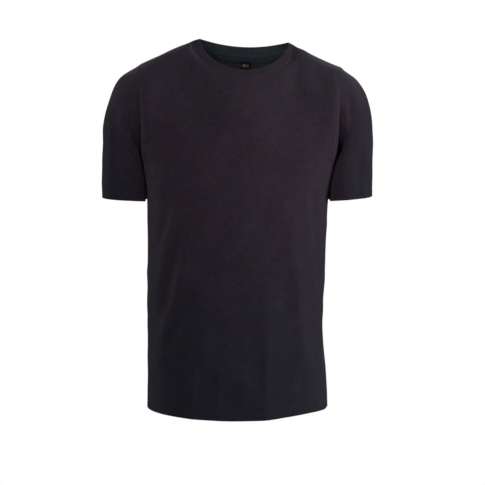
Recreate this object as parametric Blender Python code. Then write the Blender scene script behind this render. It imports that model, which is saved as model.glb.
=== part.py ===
"""A crew neck T-shirt, filled out as worn, with nobody in it.

Metres, +Z up. The front faces -Y and +X is the wearer's left. The origin lies midway between the two
shoulder seams at the height of their neck ends, where a wearer's shoulders carry the shirt.

Each cut piece is one wall: a grid of points on the middle of the cloth, moved out and in along its normals.
Rows run up the piece and columns run across it. Pieces that are sewn together sample their seam at the
same points, and each is then drawn back by half the seam gap.
"""

import math

import bmesh
import bpy
import numpy as np

# Cloth
WALL = 0.0016
RIB_WALL = 0.0024
HEM_FOLD = 0.0009
HEM_STEP = 0.0015
CUFF_SHARE = 0.07
SEAM_GAP = 0.0003
ARMHOLE_GAP = 0.0005
SLEEVE_CLEAR = 0.0030
UNDERARM_V = 1.0
TAPE_WALL = 0.0010
TAPE_WIDTH = 0.0110
TAPE_DROP = 0.0014
LAID_GAP = 0.0005
TAB_WALL = 0.0008
TAB_WIDTH = 0.0180
TAB_LENGTH = 0.0170
TAB_DROP = 0.0095
TAB_MIDDLE = 0.0170

# Heights, down from the shoulder seams' neck ends, and how far the hem rides up left of its middle
HEM = -0.708
HEM_DROP_FRONT = 0.0083
HEM_DROP_BACK = 0.0050
HEM_LIFT_LEFT = 0.0038
HEM_DEPTH = 0.020
UNDERARM = -0.225

# Torso rings: half widths to each side, and depths to the front and back
TORSO_COLUMNS = ("height", "right_side", "left_side", "front", "back")
TORSO = (
    (-0.708, 0.1747, 0.1768, 0.1200, 0.1220),
    (-0.650, 0.1740, 0.1742, 0.1185, 0.1190),
    (-0.556, 0.1740, 0.1665, 0.1150, 0.1130),
    (-0.450, 0.1737, 0.1700, 0.1140, 0.1085),
    (-0.350, 0.1735, 0.1740, 0.1175, 0.1110),
    (-0.300, 0.1745, 0.1770, 0.1205, 0.1145),
    (-0.225, 0.1820, 0.1935, 0.1240, 0.1200),
)
ROUNDNESS = 2.35

# The shoulder line, from the neck out: distance from the middle, and the height of each side
SHOULDER_COLUMNS = ("out", "right_side", "left_side")
SHOULDER = (
    (0.060, 0.0085, 0.0120),
    (0.085, 0.0030, 0.0050),
    (0.120, -0.0132, -0.0112),
    (0.145, -0.0230, -0.0234),
    (0.168, -0.0325, -0.0342),
    (0.200, -0.0484, -0.0478),
)

# Neck loops: half width, depth and drop at centre front and centre back
NECK_MIDDLE = 0.0135
SEAM_LOOP = (0.1005, 0.0965, 0.0587, 1.15, 0.0675, 0.0262, 1.60)
EDGE_LOOP = (0.0855, 0.0850, 0.0517, 1.20, 0.0620, 0.0142, 1.90)

# Sleeve rings, from the armhole to the cuff: the top of each side, how clear of the torso the underarm
# stands and its height, depths, and how far the inner side curls round the torso in front and behind
SLEEVE_COLUMNS = (
    "right_out", "right_height", "left_out", "left_height", "clear", "under_height",
    "front", "back", "wrap_front", "wrap_back",
)
SLEEVE = (
    (0.187, -0.0420, 0.2005, -0.0475, 0.0000, -0.2250, 0.0740, 0.068, 0.000, 0.000),
    (0.2235, -0.0690, 0.2325, -0.0745, 0.0090, -0.2290, 0.0715, 0.073, 0.003, 0.002),
    (0.246, -0.1095, 0.253, -0.1115, 0.0090, -0.2400, 0.0660, 0.079, 0.010, 0.019),
    (0.2575, -0.1550, 0.260, -0.1560, 0.0060, -0.2555, 0.0600, 0.085, 0.016, 0.030),
    (0.2598, -0.2060, 0.2625, -0.2060, 0.0040, -0.2730, 0.0550, 0.088, 0.018, 0.032),
    (0.2597, -0.2520, 0.2612, -0.2520, 0.0035, -0.2892, 0.0520, 0.089, 0.018, 0.029),
    (0.2605, -0.2975, 0.261, -0.2952, 0.0035, -0.3045, 0.0500, 0.090, 0.018, 0.025),
)

# The largest folds. A rise is out of the cloth, and each path is (x, height) as seen from the front.
FOLD_COLUMNS = ("piece", "face", "rise", "width", "path")
FOLDS = (
    ("front", -1, 0.0035, 0.012, ((-0.119, -0.270), (-0.133, -0.348), (-0.153, -0.399), (-0.168, -0.462))),
    ("front", -1, -0.0040, 0.012,
     ((-0.097, -0.270), (-0.114, -0.345), (-0.128, -0.416), (-0.148, -0.489), (-0.169, -0.550))),
    ("front", -1, 0.0032, 0.012, ((-0.100, -0.370), (-0.114, -0.454), (-0.148, -0.530), (-0.168, -0.575))),
    ("front", -1, -0.0030, 0.012, ((-0.103, -0.470), (-0.128, -0.546), (-0.160, -0.611))),
    ("front", -1, 0.0024, 0.012, ((-0.100, -0.545), (-0.134, -0.599), (-0.166, -0.635))),
    ("front", -1, 0.0025, 0.012, ((-0.086, -0.570), (-0.087, -0.820))),
    ("front", -1, -0.0035, 0.014, ((0.150, -0.240), (0.156, -0.356), (0.163, -0.490))),
    ("front", -1, 0.0045, 0.015, ((0.114, -0.290), (0.119, -0.416), (0.130, -0.527), (0.150, -0.640), (0.165, -0.740))),
    ("front", -1, -0.0040, 0.018, ((0.098, -0.350), (0.099, -0.486), (0.100, -0.582), (0.102, -0.850))),
    ("front", -1, 0.0030, 0.018, ((0.058, -0.480), (0.055, -0.600), (0.053, -0.850))),
    ("front", -1, -0.0020, 0.022, ((-0.060, -0.246), (0.044, -0.246), (0.120, -0.236))),
    ("front", -1, -0.0035, 0.010, ((-0.178, -0.200), (-0.165, -0.177), (-0.150, -0.166), (-0.125, -0.150))),
    ("back", 1, -0.0040, 0.015, ((-0.165, -0.215), (-0.128, -0.262), (-0.082, -0.330))),
    ("back", 1, 0.0030, 0.014, ((-0.172, -0.270), (-0.130, -0.318), (-0.070, -0.372))),
    ("back", 1, -0.0040, 0.015, ((0.172, -0.212), (0.138, -0.255), (0.100, -0.312))),
    ("back", 1, -0.0035, 0.017, ((-0.110, -0.408), (-0.020, -0.436), (0.070, -0.424))),
    ("back", 1, 0.0030, 0.017, ((-0.075, -0.480), (0.015, -0.494), (0.105, -0.470))),
    ("back", 1, 0.0035, 0.016, ((-0.095, -0.490), (-0.104, -0.620), (-0.108, -0.850))),
    ("back", 1, -0.0035, 0.017, ((-0.048, -0.540), (-0.056, -0.640), (-0.060, -0.850))),
    ("back", 1, 0.0030, 0.016, ((0.090, -0.520), (0.102, -0.640), (0.108, -0.850))),
    ("sleeve_right", -1, -0.0035, 0.010, ((-0.197, -0.070), (-0.199, -0.130), (-0.194, -0.215))),
    ("sleeve_right", -1, -0.0030, 0.012, ((-0.232, -0.105), (-0.233, -0.160), (-0.231, -0.250))),
    ("sleeve_right", 1, -0.0035, 0.013, ((-0.200, -0.150), (-0.222, -0.200), (-0.240, -0.270))),
    ("sleeve_left", -1, -0.0035, 0.011, ((0.212, -0.075), (0.216, -0.140), (0.207, -0.215))),
    ("sleeve_left", -1, -0.0025, 0.012, ((0.240, -0.160), (0.238, -0.230), (0.232, -0.330))),
    ("sleeve_left", 1, -0.0035, 0.013, ((0.206, -0.140), (0.226, -0.190), (0.246, -0.250))),
)
FOLD_FADE = 0.30
SEAM_FADE = 0.030

# Grid sizes
NECK_SHARE = 0.42
NECK_STEPS = 8
SHOULDER_STEPS = 12
TORSO_ROWS = 18
YOKE_ROWS = 12
YOKE_ROUNDS = 12
SLEEVE_ROWS = 10
RIB_ROWS = 2

# How long the cloth runs straight on at its top edge, and how much longer below the neck ends of the shoulders
NECK_RUN = 0.13
SHOULDER_RUN = 0.175
FILL_RUN = 0.085
FILL_STATION = 0.485
FILL_WIDTH = 0.16


def column(columns, table, name):
    """One named column of a table, as an array."""
    return np.array([row[columns.index(name)] for row in table])


def smooth(knots, values, at):
    """A smooth curve through the values at the knots, read at one or more places."""
    slopes = np.gradient(values, knots)
    at = np.clip(np.asarray(at, float), knots[0], knots[-1])
    place = np.clip(np.searchsorted(knots, at, side="right") - 1, 0, len(knots) - 2)
    step = knots[place + 1] - knots[place]
    t = (at - knots[place]) / step
    return (
        values[place] * (1 + 2 * t) * (1 - t) ** 2
        + slopes[place] * step * t * (1 - t) ** 2
        + values[place + 1] * t * t * (3 - 2 * t)
        + slopes[place + 1] * step * t * t * (t - 1)
    )


def torso_size(name, height):
    return smooth(column(TORSO_COLUMNS, TORSO, "height"), column(TORSO_COLUMNS, TORSO, name), height)


def shoulder_height(x):
    side = "left_side" if x > 0 else "right_side"
    return smooth(column(SHOULDER_COLUMNS, SHOULDER, "out"), column(SHOULDER_COLUMNS, SHOULDER, side), abs(x))


def half_ring(height, face, stations):
    """Points across the front (face -1) or back (face +1) at one height. A station is the share of the
    girth from the middle to a side seam, -1 at the right-hand seam and +1 at the left-hand one."""
    right, left = torso_size("right_side", height), torso_size("left_side", height)
    depth = torso_size("front" if face < 0 else "back", height)
    angles = np.linspace(-math.pi / 2, math.pi / 2, 361)
    across = np.sign(np.sin(angles)) * np.abs(np.sin(angles)) ** (2 / ROUNDNESS)
    x = across * np.where(across < 0, right, left)
    y = face * depth * np.abs(np.cos(angles)) ** (2 / ROUNDNESS)
    girth = np.concatenate([[0], np.cumsum(np.hypot(np.diff(x), np.diff(y)))])
    middle = girth[180]
    share = np.where(girth < middle, girth / middle - 1, (girth - middle) / (girth[-1] - middle))
    return np.stack(
        [np.interp(stations, share, x), np.interp(stations, share, y), np.full(len(stations), height)], axis=1
    )


def torso_side(side, y, height):
    """How far out the torso reaches on one side, at a distance behind or before its side seam."""
    reach = torso_size("right_side" if side < 0 else "left_side", height)
    depth = torso_size("front" if y < 0 else "back", height)
    return reach * max(0.0, 1 - (abs(y) / depth) ** ROUNDNESS) ** (1 / ROUNDNESS)


def neck_point(loop, angle, face):
    """A point on a neck loop. The angle is 0 at the middle and 90 degrees at a shoulder seam."""
    half_width, front, front_drop, front_curve, back, back_drop, back_curve = loop
    depth, drop, curve = (front, front_drop, front_curve) if face < 0 else (back, back_drop, back_curve)
    sideways, inward = math.sin(angle), max(math.cos(angle), 0.0)
    ends = [shoulder_height(NECK_MIDDLE + side * half_width) for side in (-1, 1)]
    level = ends[0] + (ends[1] - ends[0]) * (sideways + 1) / 2
    return np.array([NECK_MIDDLE + half_width * sideways, face * depth * inward, level - drop * inward**curve])


def sleeve_ring(row, side, rise, face):
    """A point on a sleeve ring. rise is 0 at the underarm and 1 at the top."""
    *tops, clear, under_height, front, back, wrap_front, wrap_back = row
    along = rise * rise * (3 - 2 * rise)
    deep = 4 * rise * (1 - rise)
    depth, wrap = (front, wrap_front) if face < 0 else (back, wrap_back)
    under = torso_size("right_side" if side < 0 else "left_side", under_height) + clear
    top, top_height = tops[:2] if side < 0 else tops[2:]
    x = under + (top - under) * along - wrap * deep * (1 - along)
    y = face * depth * deep
    climb = along + UNDERARM_V * rise * (1 - rise) ** 2
    height = under_height + (top_height - under_height) * climb
    if clear and height < UNDERARM:
        over = torso_side(side, y, height) + SLEEVE_CLEAR - x
        x += 0.5 * (over + math.hypot(over, 0.002))
    return np.array([side * x, y, height])


def stations_across():
    """Column stations across a body panel. The inner ones belong to the neck and the rest to the shoulders."""
    half = np.concatenate(
        [
            np.linspace(0, NECK_SHARE, NECK_STEPS + 1),
            np.linspace(NECK_SHARE, 1, SHOULDER_STEPS + 1)[1:],
        ]
    )
    return np.concatenate([-half[:0:-1], half])


def top_edge(face, station):
    """A point of a panel's top edge, on the neck seam or a shoulder seam, and the run of the cloth across that
    seam, as long as it takes to come up over the shoulder."""
    side = -1 if station < 0 else 1
    if abs(station) <= NECK_SHARE:
        angle = math.pi / 2 * station / NECK_SHARE
        point = neck_point(SEAM_LOOP, angle, face)
        over = 0.7 * (station / NECK_SHARE) ** 2
    else:
        out = (abs(station) - NECK_SHARE) / (1 - NECK_SHARE)
        angle = side * math.pi / 2
        start = neck_point(SEAM_LOOP, angle, face)
        end = sleeve_ring(SLEEVE[0], side, 1.0, face)
        x = start[0] + (end[0] - start[0]) * out
        point = np.array([x, 0.0, shoulder_height(x) + (end[2] - shoulder_height(end[0])) * out])
        over = 1 - 0.3 * max(0.0, 1 - out / 0.5) ** 2
    along_rib = neck_point(EDGE_LOOP, angle, face) - neck_point(SEAM_LOOP, angle, face)
    run = (1 - over) ** 2 * NECK_RUN * along_rib / np.linalg.norm(along_rib)
    fuller = FILL_RUN * math.exp(-(((abs(station) - FILL_STATION) / FILL_WIDTH) ** 2))
    run[1] -= face * (over * SHOULDER_RUN + fuller)
    return point, run


def relaxed(rows, first, rounds):
    """Evens out the inner points of the rows above the first, leaving the edges where they are."""
    rows = rows.copy()
    for turn in range(rounds):
        for share in (0.5, -0.53):
            middle = rows[first:-1, 1:-1]
            around = rows[first - 1 : -2, 1:-1] + rows[first + 1 :, 1:-1]
            around = (around + rows[first:-1, :-2] + rows[first:-1, 2:]) / 4
            rows[first:-1, 1:-1] = middle + share * (around - middle)
    return rows


def panel_grid(face):
    """Rows of points for the front or the back, from the hem to the shoulder and neck seams."""
    stations = stations_across()
    heights = np.linspace(HEM + HEM_DEPTH + HEM_STEP, UNDERARM, TORSO_ROWS)
    heights = np.concatenate([[HEM, HEM + HEM_DEPTH], heights])
    rows = [half_ring(height, face, stations) for height in heights]
    drop = (HEM_DROP_FRONT if face < 0 else HEM_DROP_BACK) * np.cos(stations * math.pi / 2) ** 2
    drop -= HEM_LIFT_LEFT * np.sin(math.pi * np.clip(stations, 0, 1) ** 1.5) ** 2
    for row, height in zip(rows, heights):
        row[:, 2] -= drop * max(0.0, 1 - (height - HEM) / 0.2) ** 2
    chest = rows[-1]
    rising = (chest - half_ring(UNDERARM - 0.01, face, stations)) / 0.01
    top, run = (np.array(found) for found in zip(*(top_edge(face, station) for station in stations)))
    climb = 1.15 * (top[:, 2] - chest[:, 2])
    hold = np.clip((np.abs(stations) - 0.45) / 0.55, 0, 1)
    hold = hold * hold * (3 - 2 * hold)
    for step in range(1, YOKE_ROWS + 1):
        t = step / YOKE_ROWS
        row = (
            chest * (1 + 2 * t) * (1 - t) ** 2
            + rising * climb[:, None] * t * (1 - t) ** 2
            + top * t * t * (3 - 2 * t)
            + run * t * t * (t - 1)
        )
        for side, end in ((-1, 0), (1, -1)):
            half = np.sign(stations) == side
            shift = sleeve_ring(SLEEVE[0], side, t, face) - row[end]
            row[half] += hold[half, None] * shift
        rows.append(row)
    return relaxed(np.array(rows), len(heights), YOKE_ROUNDS)


def sleeve_grid(side):
    """Rows of points round a sleeve, from the armhole to the cuff."""
    rises = [(step / YOKE_ROWS, -1) for step in range(YOKE_ROWS + 1)]
    rises += [(step / YOKE_ROWS, 1) for step in range(YOKE_ROWS - 1, 0, -1)]
    rings = np.array([[sleeve_ring(row, side, rise, face) for rise, face in rises] for row in SLEEVE])
    knots = np.linspace(0, 1, len(SLEEVE))
    return np.array(
        [
            [[smooth(knots, rings[:, j, axis], at) for axis in range(3)] for j in range(len(rises))]
            for at in (*np.linspace(0, 1 - CUFF_SHARE - HEM_STEP / 0.3, SLEEVE_ROWS), 1 - CUFF_SHARE, 1)
        ]
    )


def rib_grid():
    """Rows of points round the neck rib, from its seam to its folded edge."""
    angles = [(math.pi / 2 * step / NECK_STEPS, -1) for step in range(-NECK_STEPS, NECK_STEPS + 1)]
    angles += [(math.pi / 2 * step / NECK_STEPS, 1) for step in range(NECK_STEPS - 1, -NECK_STEPS, -1)]
    rows = []
    for step in range(RIB_ROWS + 1):
        t = step / RIB_ROWS
        rows.append(
            [
                (1 - t) * neck_point(SEAM_LOOP, angle, face) + t * neck_point(EDGE_LOOP, angle, face)
                for angle, face in angles
            ]
        )
    return np.array(rows)


def normals_of(grid, closed):
    """Unit normals of a grid of points, from the rows and columns that pass through each."""
    up = np.gradient(grid, axis=0)
    if closed:
        across = (np.roll(grid, -1, axis=1) - np.roll(grid, 1, axis=1)) / 2
    else:
        across = np.gradient(grid, axis=1)
    normal = np.cross(across, up)
    return normal / np.linalg.norm(normal, axis=2)[:, :, None]


def beside(path, places):
    """For places (x, height), how far each is from a path, and how far along it as a share of its length."""
    path = np.array(path)
    lengths = np.linalg.norm(np.diff(path, axis=0), axis=1)
    off, along = np.full(places.shape[:-1], np.inf), np.zeros(places.shape[:-1])
    for k, (start, end) in enumerate(zip(path[:-1], path[1:])):
        share = np.clip((places - start) @ (end - start) / lengths[k] ** 2, 0, 1)
        away = np.linalg.norm(places - start - share[..., None] * (end - start), axis=-1)
        nearer = away < off
        off[nearer] = away[nearer]
        along[nearer] = ((lengths[:k].sum() + share * lengths[k]) / lengths.sum())[nearer]
    return off, along


def fold_lift(name, grid):
    """How far the folds lift each point of a piece's grid."""
    lift = np.zeros(grid.shape[:2])
    for piece, face, rise, width, path in FOLDS:
        if piece != name:
            continue
        off, along = beside(path, grid[:, :, [0, 2]])
        ends = np.clip(np.minimum(along, 1 - along) / FOLD_FADE, 0, 1)
        faces_it = np.clip(0.3 + face * grid[:, :, 1] / 0.03, 0, 1)
        lift += rise * np.exp(-((off / width) ** 2)) * ends * ends * (3 - 2 * ends) * faces_it
    return lift


def seam_fade(grid, closed):
    """0 on the sewn edges of a grid, rising to 1 a little way in. A hem is a free edge."""
    def rise_from(edge, axis):
        run = np.cumsum(np.linalg.norm(np.diff(grid, axis=axis), axis=2), axis=axis)
        run = np.concatenate([np.zeros_like(np.take(run, [0], axis)), run], axis=axis)
        if edge:
            run = np.take(run, [-1], axis) - run
        share = np.clip(run / SEAM_FADE, 0, 1)
        return share * share * (3 - 2 * share)

    if closed:
        return rise_from(0, 0)
    return rise_from(1, 0) * rise_from(0, 1) * rise_from(1, 1)


class Piece:
    """A cut piece: its grid, whether its columns close into a ring, and which way its normals point out."""

    def __init__(self, name, grid, closed=False, flip=False):
        self.name, self.closed = name, closed
        out = -1 if flip else 1
        lift = fold_lift(name, grid) * seam_fade(grid, closed)
        self.grid = grid + normals_of(grid, closed) * out * lift[..., None]
        self.normals = normals_of(self.grid, closed) * out

    def edge_keys(self):
        """Places of the points on the piece's edges."""
        rows, columns = self.grid.shape[:2]
        for i in range(rows):
            for j in range(columns):
                if i in (0, rows - 1) or (not self.closed and j in (0, columns - 1)):
                    yield i, j

    def draw_back(self, move):
        """Moves the piece's edges in, so that it stands off the pieces it is sewn to."""
        rows, columns = self.grid.shape[:2]
        moved = self.grid.copy()
        for i, j in self.edge_keys():
            if i in (0, rows - 1):
                moved[i, j] += self.toward(i, j, 1 if i == 0 else -1, 0) * move
            if not self.closed and j in (0, columns - 1):
                moved[i, j] += self.toward(i, j, 0, 1 if j == 0 else -1) * move
        self.grid = moved

    def toward(self, i, j, down, right):
        """Unit vector square to the edge through a point and to its normal, into the piece."""
        rows, columns = self.grid.shape[:2]
        into = self.grid[i + down, (j + right) % columns] - self.grid[i, j]
        if down:
            low, high = (j - 1) % columns, (j + 1) % columns
            if not self.closed:
                low, high = max(j - 1, 0), min(j + 1, columns - 1)
            edge = self.grid[i, high] - self.grid[i, low]
        else:
            edge = self.grid[min(i + 1, rows - 1), j] - self.grid[max(i - 1, 0), j]
        across = np.cross(edge, self.normals[i, j])
        across = across / np.linalg.norm(across)
        return across * (1 if across @ into > 0 else -1)


def share_seam_normals(pieces):
    """Gives the pieces that meet at a seam point the same normal there, so that their ends stay flush."""
    sums = {}
    for piece in pieces:
        for i, j in piece.edge_keys():
            key = tuple(np.round(piece.grid[i, j], 5))
            sums[key] = sums.get(key, 0) + piece.normals[i, j]
    for piece in pieces:
        for i, j in piece.edge_keys():
            total = sums[tuple(np.round(piece.grid[i, j], 5))]
            piece.normals[i, j] = total / np.linalg.norm(total)


def below_seam(piece, x, distance, inward):
    """A point a distance down the back from its neck seam, moved in from the middle of the cloth."""
    top = piece.grid[-1, SHOULDER_STEPS : SHOULDER_STEPS + 2 * NECK_STEPS + 1, 0]
    j = SHOULDER_STEPS + int(np.clip(np.searchsorted(top, x, side="right") - 1, 0, 2 * NECK_STEPS - 1))
    share = (x - piece.grid[-1, j, 0]) / (piece.grid[-1, j + 1, 0] - piece.grid[-1, j, 0])
    found = np.zeros(3)
    for column_at, weight in ((j, 1 - share), (j + 1, share)):
        line, normals = piece.grid[::-1, column_at], piece.normals[::-1, column_at]
        run = np.concatenate([[0], np.cumsum(np.linalg.norm(np.diff(line, axis=0), axis=1))])
        for axis in range(3):
            found[axis] += weight * np.interp(distance, run, line[:, axis] - normals[:, axis] * inward)
    return found


def neck_tape_grid(back):
    """The tape over the back neck seam, a little short of the shoulder seams at its ends."""
    inward = WALL / 2 + LAID_GAP + TAPE_WALL / 2
    xs = back.grid[-1, SHOULDER_STEPS + 1 : SHOULDER_STEPS + 2 * NECK_STEPS, 0]
    drops = (TAPE_DROP + TAPE_WIDTH, TAPE_DROP)
    return np.array([[below_seam(back, x, drop, inward) for x in xs] for drop in drops])


def size_tab_grid(back):
    """The tab that hangs from the tape beside the middle of the back."""
    inward = WALL / 2 + LAID_GAP + TAPE_WALL + LAID_GAP + TAB_WALL / 2
    xs = TAB_MIDDLE + TAB_WIDTH * np.array([-0.5, 0.0, 0.5])
    drops = (TAB_DROP + TAB_LENGTH, TAB_DROP)
    return np.array([[below_seam(back, x, drop, inward) for x in xs] for drop in drops])


def material(name, color, roughness):
    made = bpy.data.materials.new(name)
    made.use_nodes = True
    shader = made.node_tree.nodes["Principled BSDF"]
    shader.inputs["Base Color"].default_value = (*color, 1)
    shader.inputs["Roughness"].default_value = roughness
    made.diffuse_color = (*color, 1)
    return made


def wall(piece, outer, inner, finish):
    """Makes a piece's closed wall: outer and inner are the distances from its grid to its two faces."""
    rows, columns = piece.grid.shape[:2]
    outside = piece.grid + piece.normals * np.asarray(outer, float)[..., None]
    inside = piece.grid - piece.normals * np.asarray(inner, float)[..., None]
    mesh = bpy.data.meshes.new(piece.name)
    made = bmesh.new()
    skins = [[[made.verts.new(p) for p in row] for row in skin] for skin in (outside, inside)]
    across = columns if piece.closed else columns - 1
    for i in range(rows - 1):
        for j in range(across):
            k = (j + 1) % columns
            for skin in skins:
                made.faces.new((skin[i][j], skin[i][k], skin[i + 1][k], skin[i + 1][j]))
    for i in (0, rows - 1):
        for j in range(across):
            k = (j + 1) % columns
            made.faces.new((skins[0][i][j], skins[0][i][k], skins[1][i][k], skins[1][i][j]))
    if not piece.closed:
        for j in (0, columns - 1):
            for i in range(rows - 1):
                made.faces.new((skins[0][i][j], skins[0][i + 1][j], skins[1][i + 1][j], skins[1][i][j]))
    bmesh.ops.recalc_face_normals(made, faces=made.faces)
    made.to_mesh(mesh)
    made.free()
    mesh.shade_smooth()
    mesh.set_sharp_from_angle(angle=math.radians(50))
    mesh.materials.append(finish)
    shown = bpy.data.objects.new(piece.name, mesh)
    bpy.context.scene.collection.objects.link(shown)
    return shown


def main():
    for old in list(bpy.data.objects):
        bpy.data.objects.remove(old)
    jersey = material("jersey", (0.026, 0.020, 0.029), 0.9)
    ribbing = material("ribbing", (0.029, 0.023, 0.032), 0.9)
    taping = material("taping", (0.015, 0.018, 0.022), 0.8)
    tabbing = material("tabbing", (0.006, 0.006, 0.007), 0.6)
    front = Piece("front", panel_grid(-1))
    back = Piece("back", panel_grid(1), flip=True)
    sleeves = [
        Piece("sleeve_right", sleeve_grid(-1), closed=True),
        Piece("sleeve_left", sleeve_grid(1), closed=True, flip=True),
    ]
    rib = Piece("neck_rib", rib_grid(), closed=True)
    pieces = [front, back, *sleeves, rib]
    share_seam_normals(pieces)
    tape = Piece("neck_tape", neck_tape_grid(back), flip=True)
    tab = Piece("size_tab", size_tab_grid(back), flip=True)
    for piece in pieces:
        piece.draw_back((ARMHOLE_GAP - SEAM_GAP / 2) if piece in sleeves else SEAM_GAP / 2)
    for piece in pieces[:4]:
        inner = np.full(piece.grid.shape[:2], WALL / 2)
        inner[-2:, :] += HEM_FOLD if piece in sleeves else 0
        inner[:2, :] += 0 if piece in sleeves else HEM_FOLD
        wall(piece, WALL / 2, inner, jersey)
    wall(rib, RIB_WALL / 2, RIB_WALL / 2, ribbing)
    wall(tape, TAPE_WALL / 2, TAPE_WALL / 2, taping)
    wall(tab, TAB_WALL / 2, TAB_WALL / 2, tabbing)


main()
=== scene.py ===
# %% [markdown]
# # A crew neck T-shirt, filled out as worn
#
# A T-shirt is seven pieces of cloth: a front, a back, two sleeves, a folded rib round the neck, a tape over
# the back neck seam and a small tab. Each one is a thin sheet, so each one is made here the same way: a
# fine grid of points on the middle of the cloth, which is then given its two faces. The frame holds the
# same pieces as plain solids. It says how big they are and where they lie, and nothing here moves them.

# %% Load the frame
import math

import bmesh
import bpy
import numpy as np
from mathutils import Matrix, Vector


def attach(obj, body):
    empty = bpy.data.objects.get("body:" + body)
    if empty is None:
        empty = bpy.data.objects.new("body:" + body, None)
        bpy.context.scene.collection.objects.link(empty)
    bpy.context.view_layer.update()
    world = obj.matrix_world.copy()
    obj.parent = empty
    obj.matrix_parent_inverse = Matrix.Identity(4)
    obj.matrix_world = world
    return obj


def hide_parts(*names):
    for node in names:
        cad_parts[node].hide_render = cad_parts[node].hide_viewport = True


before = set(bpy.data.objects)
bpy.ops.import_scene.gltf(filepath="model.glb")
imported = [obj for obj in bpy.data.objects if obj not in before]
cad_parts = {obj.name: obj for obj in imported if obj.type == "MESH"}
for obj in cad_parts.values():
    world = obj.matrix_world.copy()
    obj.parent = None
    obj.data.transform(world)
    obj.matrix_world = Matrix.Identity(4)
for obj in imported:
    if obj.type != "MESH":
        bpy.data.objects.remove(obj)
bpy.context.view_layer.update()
print("pieces in the frame:", sorted(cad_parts))

# %% [markdown]
# ## Nodes
#
# Materials and the light of the room are graphs of nodes. One helper adds a node, sets it and links it, and
# a few short ones stand for the kinds that come up most.

# %% Node helpers
def feed(tree, node, socket, value):
    """Links a value to a node's socket if it comes from a node, and otherwise sets it."""
    if isinstance(value, bpy.types.NodeSocket):
        tree.links.new(value, node.inputs[socket])
    elif value is not None:
        node.inputs[socket].default_value = value


def added(tree, kind, inputs=(), output=0, **settings):
    """Adds a node with its settings and inputs, and gives back one of its outputs."""
    node = tree.nodes.new("ShaderNode" + kind)
    for name, value in settings.items():
        setattr(node, name, value)
    for socket, value in dict(inputs).items():
        feed(tree, node, socket, value)
    return node.outputs[output]


def maths(tree, operation, *values):
    return added(tree, "Math", enumerate(values), operation=operation)


def mapped(tree, value, low, high, to_low=0.0, to_high=1.0, soft=True):
    """Carries a value from one range to another, eased at both ends if soft."""
    inputs = {"Value": value, "From Min": low, "From Max": high, "To Min": to_low, "To Max": to_high}
    return added(tree, "MapRange", inputs, interpolation_type="SMOOTHSTEP" if soft else "LINEAR")


def noise(tree, vector, scale, detail=2.0, roughness=0.5):
    inputs = {"Vector": vector, "Scale": scale, "Detail": detail, "Roughness": roughness}
    return added(tree, "TexNoise", inputs, "Fac")


def blended(tree, share, first, second, mode="MIX"):
    inputs = {"Factor": share, 6: first, 7: second}
    return added(tree, "Mix", inputs, 2, data_type="RGBA", blend_type=mode)


def times_grey(tree, color, value):
    """A colour with each channel multiplied by one value."""
    grey = added(tree, "CombineColor", dict.fromkeys(("Red", "Green", "Blue"), value))
    return blended(tree, 1.0, color, grey, "MULTIPLY")


def split(tree, vector):
    node = tree.nodes.new("ShaderNodeSeparateXYZ")
    feed(tree, node, "Vector", vector)
    return node.outputs


def place_of(tree):
    return added(tree, "TexCoord", output="Object")


def wave(tree, value):
    """0 to 1 and back for each whole step of the value."""
    turned = maths(tree, "COSINE", maths(tree, "MULTIPLY", value, 2 * math.pi))
    return maths(tree, "MULTIPLY_ADD", turned, 0.5, 0.5)


print("helpers for maths, ranges, noise, blends and waves")

# %% [markdown]
# ## The camera
#
# A shirt is usually pictured with a long lens from a few metres away, so that its two sides keep their true
# width. The eye is level with the collar and looks a little down, which shows the inside of the back neck.

# %% Camera
EYE = Vector((0.0106, -4.65, 0.150))
AIM = Vector((0.0106, 0.0, -0.387))
SEEN_ACROSS = 0.936

optics = bpy.data.cameras.new("camera")
optics.lens = optics.sensor_width * abs(EYE.y) / SEEN_ACROSS
camera = bpy.data.objects.new("camera", optics)
camera.location = EYE
camera.rotation_euler = (AIM - EYE).to_track_quat("-Z", "Y").to_euler()
bpy.context.scene.collection.objects.link(camera)
bpy.context.scene.camera = camera
bpy.context.scene.view_settings.view_transform = "Standard"
print("lens", round(optics.lens, 1), "mm")

# %% [markdown]
# ## The light
#
# Black cloth shows its form only where light grazes it. So the strongest soft lamp stands well round to the
# right, at chest height, and its light runs across the folds. A weaker one, above and a little to the left,
# smooths the chest and shoulders, and one behind keeps the back readable. The strength of each lamp is the
# brightness that it alone gives a white card at the shirt, which is easier to think in than watts: light
# falls with the square of the distance, so the watts are worked out from that. The lamps themselves are
# never seen.

# %% Lamps
LIT = Vector((0.0, -0.05, -0.25))
LAMP_COLUMNS = ("name", "to_the_right", "up", "distance", "size", "card", "color")
LAMPS = (
    ("key lamp", 74, 0, 2.6, 1.4, 0.74, (1.0, 0.98, 0.97)),
    ("upper lamp", -20, 33, 2.6, 1.4, 0.46, (1.0, 0.98, 0.97)),
    ("back lamp", 178, 20, 2.6, 1.4, 0.38, (1.0, 0.98, 0.95)),
)


def soft_lamp(name, to_the_right, up, distance, size, card, color):
    """A square lamp aimed at the shirt from some degrees right of the front and some degrees up."""
    lamp = bpy.data.lights.new(name, "AREA")
    lamp.size = size
    lamp.energy = card * math.pi**2 * distance**2
    lamp.color = color
    turn, rise = math.radians(to_the_right), math.radians(up)
    away = Vector((math.sin(turn) * math.cos(rise), -math.cos(turn) * math.cos(rise), math.sin(rise)))
    shown = bpy.data.objects.new(name, lamp)
    shown.location = LIT + away * distance
    shown.rotation_euler = away.to_track_quat("Z", "Y").to_euler()
    shown.visible_camera = False
    bpy.context.scene.collection.objects.link(shown)
    print(name, round(lamp.energy), "W")


for row in LAMPS:
    soft_lamp(**dict(zip(LAMP_COLUMNS, row)))

# %% The room's own light
ROOM_LIGHT = 0.09

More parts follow.
